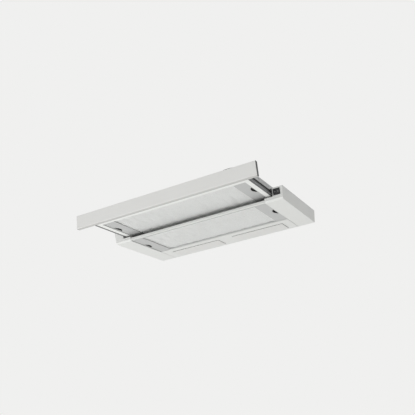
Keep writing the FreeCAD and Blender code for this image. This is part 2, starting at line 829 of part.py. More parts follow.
def make_motor():
    deck = scroll_roof + s.scroll_wall
    motor = new_body("motor")
    bore = s.shaft_radius + s.shaft_play
    neck = s.motor_radius - s.motor_foot
    revolve(motor, outline(sketch_on(motor, "XZ", "section"), [
        (bore, 0), (s.motor_radius, 0), (s.motor_radius, s.motor_foot / 4),
        (neck, s.motor_foot / 4), (neck, s.motor_height - s.motor_foot, s.motor_foot / 3),
        (neck - s.motor_foot, s.motor_height - s.motor_foot / 4),
        (2 * s.hub_radius, s.motor_height - s.motor_foot / 4),
        (2 * s.hub_radius, s.motor_height - s.motor_foot / 2),
        (bore, s.motor_height - s.motor_foot / 2),
    ]))
    place(motor, -fan_x, -s.fan_back, motor_low)
    keep(motor)

    mounts = new_body("motor_mounts")
    disc = circle(sketch_on(mounts, "XY", "disc"), s.mount_radius, s.mount_circle)
    first = pad(mounts, disc, s.mount_height)
    pattern = mounts.newObject("PartDesign::PolarPattern", "mounts")
    pattern.Originals = [first]
    pattern.Axis = (disc, ["N_Axis"])
    pattern.Angle = 360
    pattern.Occurrences = int(s.mount_count.number)
    pattern.setExpression("Occurrences", s.mount_count.words)
    mounts.Tip = pattern
    place(mounts, -fan_x, -s.fan_back, deck)
    keep(mounts)

    can = new_body("capacitor")
    radius = s.capacitor_radius
    revolve(can, outline(sketch_on(can, "XY", "section"), [
        (0, 0), (s.capacitor_length, 0), (s.capacitor_length, radius - s.gauge),
        (s.capacitor_length - s.gauge, radius), (4 * s.gauge, radius), (3 * s.gauge, radius - s.gauge),
        (2 * s.gauge, radius), (s.gauge, radius), (0, radius - s.gauge),
    ]), "H_Axis")
    place(can, radius - fan_x, -s.fan_back - s.motor_radius - 1.5 * radius, deck + radius + s.seat_gap)
    keep(can)


def make_terminals():
    top = lid_top - s.gauge - s.terminal_drop
    low = top - s.terminal_height
    left = -terminal_x - s.terminal_width / 2
    right = s.terminal_width / 2 - terminal_x
    wall = s.terminal_wall
    box = new_body("terminal_box")
    pad(box, rectangle(sketch_on(box, "XZ", "outside", -terminal_y), left, right, low, top), s.terminal_depth)
    cut(box, rectangle(
        sketch_on(box, "XZ", "inside", wall - terminal_y), left + wall, right - wall, low + wall, top - wall),
        s.terminal_depth)
    cut(box, circle(
        sketch_on(box, "XY", "entry", top - wall - s.overrun), s.gland_bore, -terminal_x, gland_y),
        wall + 2 * s.overrun)
    keep(box)
    lid = new_body("terminal_lid")
    pad(lid, rectangle(
        sketch_on(lid, "XZ", "blank", s.terminal_depth + s.seat_gap - terminal_y),
        left, right, low, top), wall)
    keep(lid)
    gland = new_body("cable_gland")
    body_radius = s.gland_radius - s.seat_gap
    revolve(gland, outline(sketch_on(gland, "XZ", "section"), [
        (s.gland_bore, s.seat_gap), (body_radius, s.seat_gap), (body_radius, s.terminal_drop + s.gauge),
        (s.gland_radius + wall, s.terminal_drop + s.gauge),
        (s.gland_radius + wall, s.terminal_drop + s.gauge + wall),
        (s.gland_radius, s.terminal_drop + s.gland_height),
        (s.gland_bore, s.terminal_drop + s.gland_height),
    ]))
    nut = sketch_on(gland, "XY", "nut", s.terminal_drop + s.gauge)
    turns = [math.radians(60 * step) for step in range(6)]
    outline(nut, [(s.nut_radius * math.cos(turn), s.nut_radius * math.sin(turn)) for turn in turns])
    circle(nut, body_radius, 0, 0)
    pad(gland, nut, s.nut_height)
    place(gland, -terminal_x, gland_y, top)
    keep(gland)


# Drawer: cross rails, side members, top cover and front panel

drawer_front = reach - s.panel_wall - s.seat_gap
drawer_filter_half = inner_side - s.filter_play
rear_filter_half = half_well - s.filter_play

# The latches' middle, from the back of each filter

rear_latch = -filter_depth / 2
drawer_latch = rear_latch - s.latch_forward


def make_drawer():
    side = new_body("drawer_side_right")
    wall_top = drawer_top - s.gauge
    pad(side, outline(sketch_on(side, "XZ", "section", side_back), [
        (inner_side, drawer_floor), (half_drawer, drawer_floor), (half_drawer, wall_top),
        (half_drawer - s.gauge, wall_top), (half_drawer - s.gauge, drawer_floor + s.gauge),
        (inner_side + s.gauge, drawer_floor + s.gauge),
        (inner_side + s.gauge, drawer_floor + s.side_lip), (inner_side, drawer_floor + s.side_lip),
    ]), filter_front - side_back)
    pad(side, rectangle(
        sketch_on(side, "XZ", "striker", side_back),
        inner_side, half_drawer, drawer_floor, wall_top), s.gauge)
    middle = drawer_latch - drawer_filter_back
    slot = sketch_on(side, "YZ", "latch_slot", inner_side - s.overrun)
    rectangle(slot, middle - s.tongue_width / 2 - s.tongue_play, middle + s.tongue_width / 2 + s.tongue_play,
              drawer_filter_low + tongue_low - s.seat_gap, drawer_filter_low + tongue_high + s.seat_gap)
    cut(side, slot, s.gauge + 2 * s.overrun)
    keep(side, mirrored(side, "drawer_side_left"))

    rail = new_body("drawer_front_rail")
    pad(rail, outline(sketch_on(rail, "YZ", "section", -half_drawer), [
        (-drawer_front, drawer_floor), (-rail_back, drawer_floor),
        (-rail_back, drawer_floor + s.side_lip), (-rail_back - s.gauge, drawer_floor + s.side_lip),
        (-rail_back - s.gauge, drawer_floor + s.gauge), (s.gauge - drawer_front, drawer_floor + s.gauge),
        (s.gauge - drawer_front, wall_top), (-drawer_front, wall_top),
    ]), 2 * half_drawer)
    keep(rail)

    rear = new_body("drawer_rear_rail")
    back = s.seat_gap - drawer_filter_back
    front_y, rear_y = back, back + s.rear_rail_depth
    low_top = drawer_floor + s.side_lip
    pad(rear, outline(sketch_on(rear, "YZ", "section", s.seat_gap - inner_side), [
        (front_y, drawer_floor), (rear_y, drawer_floor), (rear_y, low_top), (rear_y - s.gauge, low_top),
        (rear_y - s.gauge, drawer_floor + s.gauge), (front_y + s.gauge, drawer_floor + s.gauge),
        (front_y + s.gauge, low_top), (front_y, low_top),
    ]), 2 * (inner_side - s.seat_gap))
    keep(rear)

    cover = new_body("drawer_top_cover")
    pad(cover, rectangle(
        sketch_on(cover, "XY", "blank", wall_top),
        -half_drawer, half_drawer, -drawer_front, -drawer_filter_back - s.cover_short), s.gauge)
    keep(cover)


def make_panel():
    low = s.panel_top - s.panel_height
    wall, lip = s.panel_wall, s.panel_lip
    back, front = -panel_back, -reach
    half = half_frame + s.panel_overhang - s.cap_thickness
    panel = new_body("front_panel")
    pad(panel, outline(sketch_on(panel, "YZ", "section", -half), [
        (front, low), (back, low), (back, low + lip), (back - wall, low + lip),
        (back - wall, low + wall), (front + wall, low + wall),
        (front + wall, s.panel_top - wall), (back - wall, s.panel_top - wall),
        (back - wall, s.panel_top - lip), (back, s.panel_top - lip),
        (back, s.panel_top), (front, s.panel_top),
    ]), 2 * half)
    round_edges(panel, lambda e: runs_along(e, "x") and near(e.CenterOfMass.y, front), s.panel_round)
    round_edges(panel, lambda e: (
        runs_along(e, "x") and near(e.CenterOfMass.y, front + wall)), s.panel_round - wall)
    keep(panel)

    cap = new_body("panel_end_cap_right")
    pad(cap, rectangle(sketch_on(cap, "YZ", "plate", half), front, back, low, s.panel_top), s.cap_thickness)
    round_edges(cap, lambda e: runs_along(e, "x") and near(e.CenterOfMass.y, front), s.panel_round)
    fit = wall + s.seat_gap
    pad(cap, rectangle(
        sketch_on(cap, "YZ", "plug", half - s.cap_plug),
        front + fit, back - fit, low + fit, s.panel_top - fit), s.cap_plug)
    round_edges(cap, lambda e: (
        runs_along(e, "x") and near(e.CenterOfMass.y, front + fit)), s.panel_round - wall)
    cut(cap, rectangle(
        sketch_on(cap, "YZ", "plug_hollow", half - s.cap_plug - s.overrun),
        front + fit + wall, back - fit - wall, low + fit + wall, s.panel_top - fit - wall),
        s.cap_plug + s.overrun)
    keep(cap, mirrored(cap, "panel_end_cap_left"))


# Ball slides: the wide member rides on the drawer, the narrow one is fixed in the bay

slide_middle = drawer_floor + s.slide_height / 2
race_gap = 2 * (s.race_radius + s.race_play)
fixed_half = s.slide_height / 2 - s.slide_gauge - race_gap
ball_row = fixed_half + race_gap / 2
ball_x = half_drawer + s.slide_gauge + s.slide_web_gap + s.race_radius + s.race_play
cage_back = (side_back + s.frame_depth - s.slide_front_gap - s.cage_length) / 2


def channel(body, web, tip, half_height, gauge, level, length):
    """A slide member: a channel whose flanges run from its web to their tips."""
    face = 1 if number(tip) > number(web) else -1
    corners = [
        (web, slide_middle - half_height), (tip, slide_middle - half_height),
        (tip, slide_middle - half_height + gauge), (web + face * gauge, slide_middle - half_height + gauge),
        (web + face * gauge, slide_middle + half_height - gauge), (tip, slide_middle + half_height - gauge),
        (tip, slide_middle + half_height), (web, slide_middle + half_height),
    ]
    pad(body, outline(sketch_on(body, "XZ", "section", level), corners[::face]), length)


def make_slides():
    fixed = new_body("slide_fixed_right")
    channel(fixed, half_bay, half_bay - s.slide_flange, fixed_half, s.slide_gauge,
            s.slide_rear, s.frame_depth - s.slide_front_gap - s.slide_rear)
    keep(fixed, mirrored(fixed, "slide_fixed_left"))

    moving = new_body("slide_moving_right")
    channel(moving, half_drawer, half_drawer + s.slide_flange, s.slide_height / 2, s.slide_gauge,
            side_back, panel_back - s.gauge - side_back)
    keep(moving, mirrored(moving, "slide_moving_left"))

    cage = new_body("ball_cage_right")
    web = half_drawer + s.slide_gauge + s.seat_gap
    tip = ball_x + s.race_radius + s.seat_gap / 2
    channel(cage, web, tip, ball_row + s.cage_gauge / 2, s.cage_gauge, cage_back, s.cage_length)
    holes = sketch_on(cage, "XY", "ball_holes", slide_middle - ball_row - s.race_radius)
    places = []
    for index in range(int(s.balls_in_row.number)):
        y = -cage_back - s.cage_length * ((index + 0.5) / s.balls_in_row.number)
        places.append(y)
        circle(holes, s.race_radius + s.race_play, ball_x, y)
    cut(cage, holes, 2 * (ball_row + s.race_radius))
    keep(cage, mirrored(cage, "ball_cage_left"))

    balls = []
    for row, level in enumerate((slide_middle - ball_row, slide_middle + ball_row)):
        for index, y in enumerate(places):
            ball = solid("Sphere", f"ball_{row}_{index}", Radius=s.race_radius)
            place(ball, ball_x, y, level)
            balls.append(ball)
    group = doc.addObject("Part::Compound", "slide_balls_right")
    group.Label = "slide_balls_right"
    group.Links = balls
    keep(group, mirrored(group, "slide_balls_left"))


# Filters: an edge frame with an end plate at each side, a mesh pad and two finger latches

def make_filter(prefix, half, back, low, middle):
    depth, height = filter_depth, s.filter_height
    frame = new_body(f"{prefix}_filter_frame")
    pad(frame, rectangle(sketch_on(frame, "XY", "blank"), -half, half, -depth, 0), height)
    cut(frame, rectangle(
        sketch_on(frame, "XY", "tray", s.gauge),
        s.gauge - half, half - s.gauge, s.gauge - depth, -s.gauge), height)
    window = half - s.filter_end
    pad(frame, rectangle(
        sketch_on(frame, "XY", "hem", s.gauge), -window - s.filter_lip, window + s.filter_lip,
        -depth, 0), s.hem_height)
    holes = sketch_on(frame, "XY", "window", -s.overrun)
    rectangle(holes, -window, window, s.filter_lip - depth, -s.filter_lip)
    chord = half - s.latch_inset
    low_end, high_end = middle - s.latch_length / 2, middle + s.latch_length / 2
    outline(holes, [(chord, low_end), (chord, high_end, s.latch_sagitta)])
    outline(holes, [(-chord, high_end), (-chord, low_end, s.latch_sagitta)])
    cut(frame, holes, s.gauge + s.hem_height + s.overrun)
    slot = sketch_on(frame, "YZ", "latch_slots", -half - s.overrun)
    rectangle(slot, middle - s.tongue_width / 2 - s.tongue_play, middle + s.tongue_width / 2 + s.tongue_play,
              tongue_low - s.seat_gap, tongue_high + s.seat_gap)
    cut(frame, slot, 2 * (half + s.overrun))
    place(frame, 0, -back, low)
    keep(frame)

    reach = window + s.mesh_overlap
    inset = s.gauge + s.seat_gap
    mesh = solid("Box", f"{prefix}_filter_mesh",
                 Length=2 * reach, Width=depth - 2 * inset, Height=s.mesh_height)
    place(mesh, -reach, inset - depth - back, low + s.gauge + s.hem_height)
    keep(mesh)

    latch = new_body(f"{prefix}_filter_latch_right")
    outer = half - s.gauge - s.seat_gap
    floor = s.gauge + s.seat_gap
    pad(latch, rectangle(
        sketch_on(latch, "XY", "plate", floor), outer - s.latch_plate_width, outer,
        middle - s.latch_plate_length / 2, middle + s.latch_plate_length / 2), s.latch_height)
    pad(latch, rectangle(
        sketch_on(latch, "YZ", "tongue", outer - s.tongue_reach),
        middle - s.tongue_width / 2, middle + s.tongue_width / 2, tongue_low, tongue_high),
        2 * s.tongue_reach + s.seat_gap)
    cup = sketch_on(latch, "XY", "finger_cup", floor - s.overrun)
    outline(cup, [(chord - s.gauge, low_end), (chord - s.gauge, high_end, s.latch_sagitta)])
    cut(latch, cup, s.latch_height - s.gauge + s.overrun)
    place(latch, 0, -back, low)
    keep(latch, mirrored(latch, f"{prefix}_filter_latch_left"))


# Lamp panel with its covers, lampholders and lamps

# How far a quarter circle stands out from its chord, as a share of its radius
tip_share = 1 - math.sqrt(0.5)


def make_lamps():
    sheet_top = s.lamp_sheet - s.frame_height
    half = half_well - s.filter_play
    front, back = s.filter_play - s.filter_back, -s.frame_wall - s.seat_gap
    panel = new_body("lamp_panel")
    wall = s.lamp_sheet
    pad(panel, rectangle(
        sketch_on(panel, "XY", "blank", -s.frame_height), -half, half, front, back), s.lamp_wall_height)
    cut(panel, rectangle(
        sketch_on(panel, "XY", "tray", sheet_top), wall - half, half - wall, front + wall, back - wall),
        s.lamp_wall_height)
    low, high = -s.lamp_back - s.lamp_depth, -s.lamp_back
    windows = sketch_on(panel, "XY", "windows", -s.frame_height - s.overrun)
    rectangle(windows, s.lamp_inner, lamp_outer, low, high)
    rectangle(windows, -lamp_outer, -s.lamp_inner, low, high)
    cut(panel, windows, wall + 2 * s.overrun)
    round_edges(panel, lambda e: (
        runs_along(e, "z") and (near(e.CenterOfMass.y, low) or near(e.CenterOfMass.y, high))
        and near(e.CenterOfMass.z, wall / 2 - s.frame_height)), s.lamp_round)
    keep(panel)

    cover = new_body("lamp_cover_right")
    play = s.lamp_gap
    left, right = s.lamp_inner + play, lamp_outer - play
    pad(cover, rectangle(
        sketch_on(cover, "XY", "lens", -s.frame_height - s.lamp_proud),
        left, right, low + play, high - play), wall + s.lamp_proud)
    round_edges(cover, lambda e: runs_along(e, "z"), s.lamp_round - play)
    rim = s.lamp_flange
    pad(cover, rectangle(
        sketch_on(cover, "XY", "rim", sheet_top), left - rim, right + rim, low - rim, high + rim), s.gauge)
    keep(cover, mirrored(cover, "lamp_cover_left"))

    axis_y, axis_z = -s.lamp_back - s.lamp_depth / 2, sheet_top + s.lamp_axis
    holder_left = half - wall - s.seat_gap - s.holder_length
    holder = new_body("lampholder_right")
    half_holder = s.holder_width / 2
    pad(holder, outline(sketch_on(holder, "YZ", "section", holder_left), [
        (axis_y - half_holder, sheet_top), (axis_y + half_holder, sheet_top),
        (axis_y + half_holder, axis_z), (axis_y + half_holder / 2, sheet_top + s.holder_height),
        (axis_y - half_holder / 2, sheet_top + s.holder_height), (axis_y - half_holder, axis_z),
    ]), s.holder_length)
    cut(holder, circle(
        sketch_on(holder, "YZ", "socket", holder_left - s.overrun),
        s.bulb_cap_radius + s.seat_gap, axis_y, axis_z), s.bulb_cap_length + s.seat_gap + s.overrun)
    keep(holder, mirrored(holder, "lampholder_left"))

    bulb = new_body("lamp_right")
    cap, radius = s.bulb_cap_length, s.bulb_radius
    neck = s.bulb_cap_radius
    revolve(bulb, outline(sketch_on(bulb, "XY", "section"), [
        (-s.bulb_length, 0), (cap, 0), (cap, neck / 2), (cap - neck / 2, neck), (0, neck),
        (-neck, radius), (radius - s.bulb_length, radius, (radius - s.bulb_tip) * tip_share),
        (-s.bulb_length, s.bulb_tip),
    ]), "H_Axis")
    place(bulb, holder_left, axis_y, axis_z)
    keep(bulb, mirrored(bulb, "lamp_left"))


# Control on the right corner block: a surround, the switch body and two upright rockers

rocker_pivot = s.rocker_depth / 2


def make_control():
    front = s.frame_depth
    rim = s.bezel_rim
    middle_x = (switch_left + switch_right) / 2
    middle_z = (switch_low + switch_high) / 2
    spots = [middle_x - s.rocker_spacing / 2, middle_x + s.rocker_spacing / 2]
    half_x = s.rocker_width / 2 + s.seat_gap
    half_z = s.rocker_height / 2 + s.rocker_play
    bezel = new_body("control_bezel")
    pad(bezel, rectangle(
        sketch_on(bezel, "XZ", "plate", front), switch_left - rim, switch_right + rim,
        switch_low - rim, switch_high + rim), s.bezel_proud)
    windows = sketch_on(bezel, "XZ", "windows", front - s.overrun)
    for spot in spots:
        rectangle(windows, spot - half_x, spot + half_x, middle_z - half_z, middle_z + half_z)
    cut(bezel, windows, s.bezel_proud + 2 * s.overrun)
    keep(bezel)

    block = new_body("switch_body")
    play = s.seat_gap
    pad(block, rectangle(
        sketch_on(block, "XZ", "block", front - s.switch_depth), switch_left + play, switch_right - play,
        switch_low + play, switch_high - play), s.switch_depth)
    wells = sketch_on(block, "XZ", "wells", front - s.rocker_depth - s.rocker_play)
    for spot in spots:
        rectangle(wells, spot - half_x, spot + half_x, middle_z - half_z, middle_z + half_z)
    cut(block, wells, s.rocker_depth + s.rocker_play + s.overrun)
    pin_end = half_x + s.rocker_pin_reach
    cut(block, circle(
        sketch_on(block, "YZ", "pin_holes", spots[0] - pin_end),
        s.rocker_pin + s.pin_play, rocker_pivot - front, middle_z), s.rocker_spacing + 2 * pin_end)
    keep(block)

    pin_end = pin_end - s.pin_play
    for label, spot, tilt in (("light_rocker", spots[0], s.rocker_tilt), ("fan_rocker", spots[1], 0)):
        rocker = new_body(label)
        half = s.rocker_height / 2
        pad(rocker, outline(sketch_on(rocker, "YZ", "section", -s.rocker_width / 2), [
            (-rocker_pivot - s.rocker_proud, -half), (s.rocker_depth - rocker_pivot, -half / 2),
            (s.rocker_depth - rocker_pivot, half / 2),
            (-rocker_pivot - s.rocker_proud, half, -s.rocker_proud / 4),
        ]), s.rocker_width)
        pad(rocker, circle(sketch_on(rocker, "YZ", "pins", -pin_end), s.rocker_pin), 2 * pin_end)
        rocker.Placement = FreeCAD.Placement(vector(), FreeCAD.Rotation(vector(1, 0, 0), number(tilt)))
        bind(rocker, "Placement.Rotation.Angle", tilt)
        place(rocker, spot, rocker_pivot - front, middle_z)
        keep(rocker)


# Microswitch that the drawer's left striker presses when the drawer is shut

def make_microswitch():
    end = travel - side_back
    front = end + s.seat_gap + s.micro_reach
    x = -inner_side - s.side_width / 2
    z = ledge_top + s.micro_level
    block = new_body("drawer_switch")
    pad(block, rectangle(
        sketch_on(block, "XZ", "block", -front - s.micro_depth), x - s.micro_width / 2, x + s.micro_width / 2,
        ledge_top, ledge_top + s.micro_height), s.micro_depth)
    cut(block, circle(
        sketch_on(block, "XZ", "bore", -front - s.micro_bore), s.micro_plunger + s.micro_play, x, z),
        s.micro_bore + s.overrun)
    keep(block)
    plunger = solid("Cylinder", "switch_plunger", Radius=s.micro_plunger,
                    Height=s.micro_reach + s.micro_bore * 0.75)
    plunger.Placement = FreeCAD.Placement(vector(), FreeCAD.Rotation(vector(1, 0, 0), -90))
    place(plunger, x, end + s.seat_gap, z)
    keep(plunger)


make_lower_frame()
make_top_plate()
make_housing()
make_collar()
make_blower()
make_terminals()
make_drawer()
make_panel()
make_slides()
make_filter("drawer", drawer_filter_half, drawer_filter_back, drawer_filter_low, drawer_latch)
make_filter("rear", rear_filter_half, s.filter_back, rear_filter_low, rear_latch)
make_lamps()
make_control()
make_microswitch()

doc.recompute()
for thing in doc.Objects:
    if "Invalid" in thing.State or "Error" in thing.State:
        raise RuntimeError(f"{thing.Name} did not build: {thing.State}")
for part in parts:
    if part.Shape.isNull() or not part.Shape.isValid():
        raise RuntimeError(f"{part.Label} has no valid shape")

os.makedirs("parts", exist_ok=True)
for part in parts:
    part.Shape.exportStep(f"parts/{part.Label}.step")
print(len(parts), "parts")
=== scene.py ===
import bpy
import json
import math
from mathutils import Matrix, Vector
from mathutils.bvhtree import BVHTree


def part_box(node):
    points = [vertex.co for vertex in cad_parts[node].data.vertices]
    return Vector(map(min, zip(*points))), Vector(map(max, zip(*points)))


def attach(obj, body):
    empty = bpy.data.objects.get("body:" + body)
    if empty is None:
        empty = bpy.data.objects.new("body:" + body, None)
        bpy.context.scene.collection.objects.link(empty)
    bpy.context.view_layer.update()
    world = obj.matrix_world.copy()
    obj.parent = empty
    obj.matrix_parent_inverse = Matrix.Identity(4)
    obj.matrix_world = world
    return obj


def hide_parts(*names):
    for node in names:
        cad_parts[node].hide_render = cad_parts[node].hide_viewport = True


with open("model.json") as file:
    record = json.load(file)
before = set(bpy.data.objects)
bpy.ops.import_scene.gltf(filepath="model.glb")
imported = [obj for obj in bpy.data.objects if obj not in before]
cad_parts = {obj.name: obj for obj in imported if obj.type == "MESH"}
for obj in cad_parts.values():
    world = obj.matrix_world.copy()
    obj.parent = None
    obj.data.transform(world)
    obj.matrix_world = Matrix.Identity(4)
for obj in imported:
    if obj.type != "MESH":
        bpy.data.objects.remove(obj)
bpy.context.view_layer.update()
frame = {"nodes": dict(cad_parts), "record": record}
nodes = frame["nodes"]
mm = 0.001
bevelSamples = 6
edgeStart, edgeFull = 0.995, 0.86  # cosine between a face and its rounded normal, where an edge starts and is full
turnStart, turnFull = -0.3, -0.9  # a face's normal along one axis, where it starts to look that way and fully does
print("frame loaded:", len(nodes), "nodes")


# small helpers, used all over

def toLinear(hexColour):
    # sRGB hex to the linear values that the shaders want
    parts = [int(hexColour[i:i + 2], 16) / 255 for i in (1, 3, 5)]
    return [c / 12.92 if c <= 0.04045 else ((c + 0.055) / 1.055) ** 2.4 for c in parts] + [1.0]


def addNode(tree, kind, links=None, **settings):
    # adds a node, sets it up, and wires or fills its sockets
    node = tree.nodes.new("ShaderNode" + kind)
    for name, value in settings.items():
        setattr(node, name, value)
    for socket, source in (links or {}).items():
        if isinstance(source, bpy.types.NodeSocket):
            tree.links.new(source, node.inputs[socket])
        else:
            node.inputs[socket].default_value = source
    return node


def newMaterial(name):
    material = bpy.data.materials.new(name)
    material.use_nodes = True
    material.node_tree.nodes.clear()
    return material, material.node_tree


def perMm(size):
    # texture scale of a pattern that repeats every so many millimetres
    return 1 / (size * mm)


def stretched(tree, x=1.0, y=1.0, z=1.0):
    # the piece's own coordinates in metres, so that a pattern rides with its piece
    here = addNode(tree, "TexCoord").outputs["Object"]
    return addNode(tree, "Mapping", {"Vector": here, "Scale": (x, y, z)}).outputs["Vector"]


def edgeTurnMask(tree, radius):
    # 1 where the surface turns over an edge, 0 on a flat
    rounded = addNode(tree, "Bevel", {"Radius": radius * mm}, samples=bevelSamples).outputs["Normal"]
    plain = addNode(tree, "NewGeometry").outputs["Normal"]
    turn = addNode(tree, "VectorMath", {0: rounded, 1: plain}, operation="DOT_PRODUCT").outputs["Value"]
    return addNode(tree, "MapRange", {"Value": turn, "From Min": edgeStart, "From Max": edgeFull}).outputs["Result"]


def finishSurface(material, look, grain, cloud, edgeTurn=None, **sockets):
    # The part that every solid finish shares: two tints mixed by a slow cloud, a lighter or darker edge (a lighter
    # one is a painted highlight), roughness that drifts with the cloud, and the grain as bump over softly rounded
    # edges.
    tree = material.node_tree
    tint = addNode(tree, "Mix", {0: cloud, 6: toLinear(look["colour"]), 7: toLinear(look["drift"])},
                   data_type="RGBA").outputs[2]
    if edgeTurn is not None:
        # the edge colour: where it is lighter than the face, as on most finishes here, it is a painted highlight
        amount = addNode(tree, "Math", {0: edgeTurn, 1: look["edgeShare"]}, operation="MULTIPLY").outputs[0]
        tint = addNode(tree, "Mix", {0: amount, 6: tint, 7: toLinear(look["edge"])}, data_type="RGBA").outputs[2]
    if "turned" in look:  # faces that look the negative way along one axis get a colour of their own: painted shade under the panel and the slides, the sprayed rim on the caps
        axis, colour = look["turned"]
        facing = addNode(tree, "SeparateXYZ", {0: addNode(tree, "TexCoord").outputs["Normal"]}).outputs[axis]
        share = addNode(tree, "MapRange", {
            "Value": facing, "From Min": turnStart, "From Max": turnFull}).outputs["Result"]
        tint = addNode(tree, "Mix", {0: share, 6: tint, 7: toLinear(colour)}, data_type="RGBA").outputs[2]
    rough = addNode(tree, "MapRange", {
        "Value": cloud, "To Min": look["roughness"] - look["spread"],
        "To Max": look["roughness"] + look["spread"]}).outputs["Result"]
    rounded = addNode(tree, "Bevel", {"Radius": look["edgeMm"] * mm}, samples=bevelSamples).outputs["Normal"]
    bump = addNode(tree, "Bump", {
        "Strength": look["bump"], "Distance": look["depthMm"] * mm, "Height": grain, "Normal": rounded})
    shader = addNode(tree, "BsdfPrincipled", {
        "Base Color": tint, "Roughness": rough, "Normal": bump.outputs["Normal"]})
    for name, value in sockets.items():
        shader.inputs[name.replace("_", " ")].default_value = value
    addNode(tree, "OutputMaterial", {"Surface": shader.outputs["BSDF"]})
    return material


def newMesh(name, corners, faces, *materials):
    mesh = bpy.data.meshes.new(name)
    mesh.from_pydata(corners, [], faces)
    for material in materials:
        mesh.materials.append(material)
    return mesh


def addPiece(name, mesh):
    piece = bpy.data.objects.new(name, mesh)
    bpy.context.scene.collection.objects.link(piece)
    return piece


def smoothUpTo(mesh, degrees):
    # smooth faces, with a crease where two meet at more than this angle
    for face in mesh.polygons:
        face.use_smooth = True
    mesh.set_sharp_from_angle(angle=math.radians(degrees))


# Materials, each from what the real one is

trayCoat = {
    "colour": "#dfe0de", "drift": "#dadbd9", "edge": "#e8e9e7", "edgeShare": 0.5, "roughness": 0.44,
    "spread": 0.03, "bump": 0.35, "depthMm": 0.03, "edgeMm": 0.6, "peelMm": 1.4, "cloudMm": 90,
}


def powderCoatedSteel(name, look):
    # sprayed powder, baked: an even satin skin with a fine orange peel
    material, tree = newMaterial(name)
    here = stretched(tree)
    peel = addNode(tree, "TexNoise", {"Vector": here, "Scale": perMm(look["peelMm"]), "Detail": 2.0})
    cloud = addNode(tree, "TexNoise", {"Vector": here, "Scale": perMm(look["cloudMm"]), "Detail": 3.0})
    return finishSurface(material, look, peel.outputs["Fac"], cloud.outputs["Fac"],
                         edgeTurnMask(tree, look["edgeMm"]), IOR=1.5)


panelCoat = dict(trayCoat, colour="#e1e1df", drift="#dcdcda", edge="#eeeeec", edgeShare=0.7, roughness=0.3,
                 peelMm=1.0, depthMm=0.02)
panelCoatShadedUnder = dict(panelCoat, turned=("Z", "#bcbcba"))  # the return under the panel is painted greyer: a painted shade
drawerCoat = dict(trayCoat, colour="#ecedeb", drift="#e6e7e5", edge="#f4f4f2", roughness=0.34)

zincSheet = {
    "colour": "#b2b3b3", "drift": "#a6a7a7", "edge": "#c6c7c7", "edgeShare": 0.6, "roughness": 0.44,
    "spread": 0.07, "bump": 0.25, "depthMm": 0.02, "edgeMm": 0.4, "grainMm": 0.8, "spangleMm": 6,
    "bendShare": 0.004,  # how far the crystals' borders wander
}


def galvanisedSteel(look=zincSheet):
    # hot-dip zinc: crystals of slightly different grey and gloss, some millimetres across
    material, tree = newMaterial("galvanisedSteel")
    here = stretched(tree)
    bend = addNode(tree, "TexNoise", {"Vector": here, "Scale": perMm(look["spangleMm"] / 2), "Detail": 3.0})
    pushed = addNode(tree, "Mix", {
        0: look["bendShare"], 4: here, 5: bend.outputs["Color"]}, data_type="VECTOR").outputs[1]
    spangle = addNode(tree, "TexVoronoi", {"Vector": pushed, "Scale": perMm(look["spangleMm"])})
    share = addNode(tree, "SeparateColor", {"Color": spangle.outputs["Color"]}).outputs["Red"]
    grain = addNode(tree, "TexNoise", {"Vector": here, "Scale": perMm(look["grainMm"]), "Detail": 4.0})
    return finishSurface(material, look, grain.outputs["Fac"], share, edgeTurnMask(tree, look["edgeMm"]), Metallic=0.85)


filterSheet = {
    "colour": "#c9caca", "drift": "#bdbebd", "edge": "#dedfde", "edgeShare": 0.7, "roughness": 0.38,
    "spread": 0.08, "bump": 0.3, "depthMm": 0.02, "edgeMm": 0.5, "streakMm": 0.5, "runMm": 60,
}


def rolledAluminium(look=filterSheet):
    # mill finish: faint streaks along the rolling, a soft bright sheen
    material, tree = newMaterial("rolledAluminium")
    streaks = addNode(tree, "TexNoise", {
        "Vector": stretched(tree, look["streakMm"] / look["runMm"]), "Scale": perMm(look["streakMm"]),
        "Detail": 4.0, "Roughness": 0.6})
    return finishSurface(material, look, streaks.outputs["Fac"], streaks.outputs["Fac"],
                         edgeTurnMask(tree, look["edgeMm"]), Metallic=0.3)


meshStrand = dict(filterSheet, colour="#f5f6f5", drift="#edeeed", roughness=0.32, edgeMm=0.15, runMm=8, streakMm=0.4)


def expandedAluminium(look=meshStrand):
    # slit and stretched foil: bright strands with a torn, slightly duller cut face
    material, tree = newMaterial("expandedAluminium")
    grain = addNode(tree, "TexNoise", {"Vector": stretched(tree), "Scale": perMm(look["streakMm"]), "Detail": 3.0})
    cloud = addNode(tree, "TexNoise", {"Vector": stretched(tree), "Scale": perMm(look["runMm"]), "Detail": 2.0})
    return finishSurface(material, look, grain.outputs["Fac"], cloud.outputs["Fac"],
                         edgeTurnMask(tree, look["edgeMm"]), Metallic=0.15)


# meshCore's drift colour is the painted shade in the cells' sunken middles
meshCore = {
    "colour": "#f2f3f2", "drift": "#e0e1e0", "roughness": 0.5, "spread": 0.1, "bump": 0.5, "depthMm": 0.4,
    "edgeMm": 0.2, "cellMm": 3.2, "stretch": 0.5, "gapShare": 0.3,
}


def packedMesh(look=meshCore):
    # the deeper layers of the pad, pressed together: cells over cells, their sunken middles painted darker, a painted
    # shade
    material, tree = newMaterial("packedAluminiumMesh")
    cells = addNode(tree, "TexVoronoi", {
        "Vector": stretched(tree, look["stretch"]), "Scale": perMm(look["cellMm"])}, feature="DISTANCE_TO_EDGE")
    # the cells' middles sink back and are painted darker: a painted shade in the holes
    gap = addNode(tree, "MapRange", {
        "Value": cells.outputs["Distance"], "From Max": look["gapShare"]}).outputs["Result"]
    lift = addNode(tree, "Math", {0: 1.0, 1: gap}, operation="SUBTRACT").outputs[0]
    return finishSurface(material, look, lift, gap, Metallic=0.1)


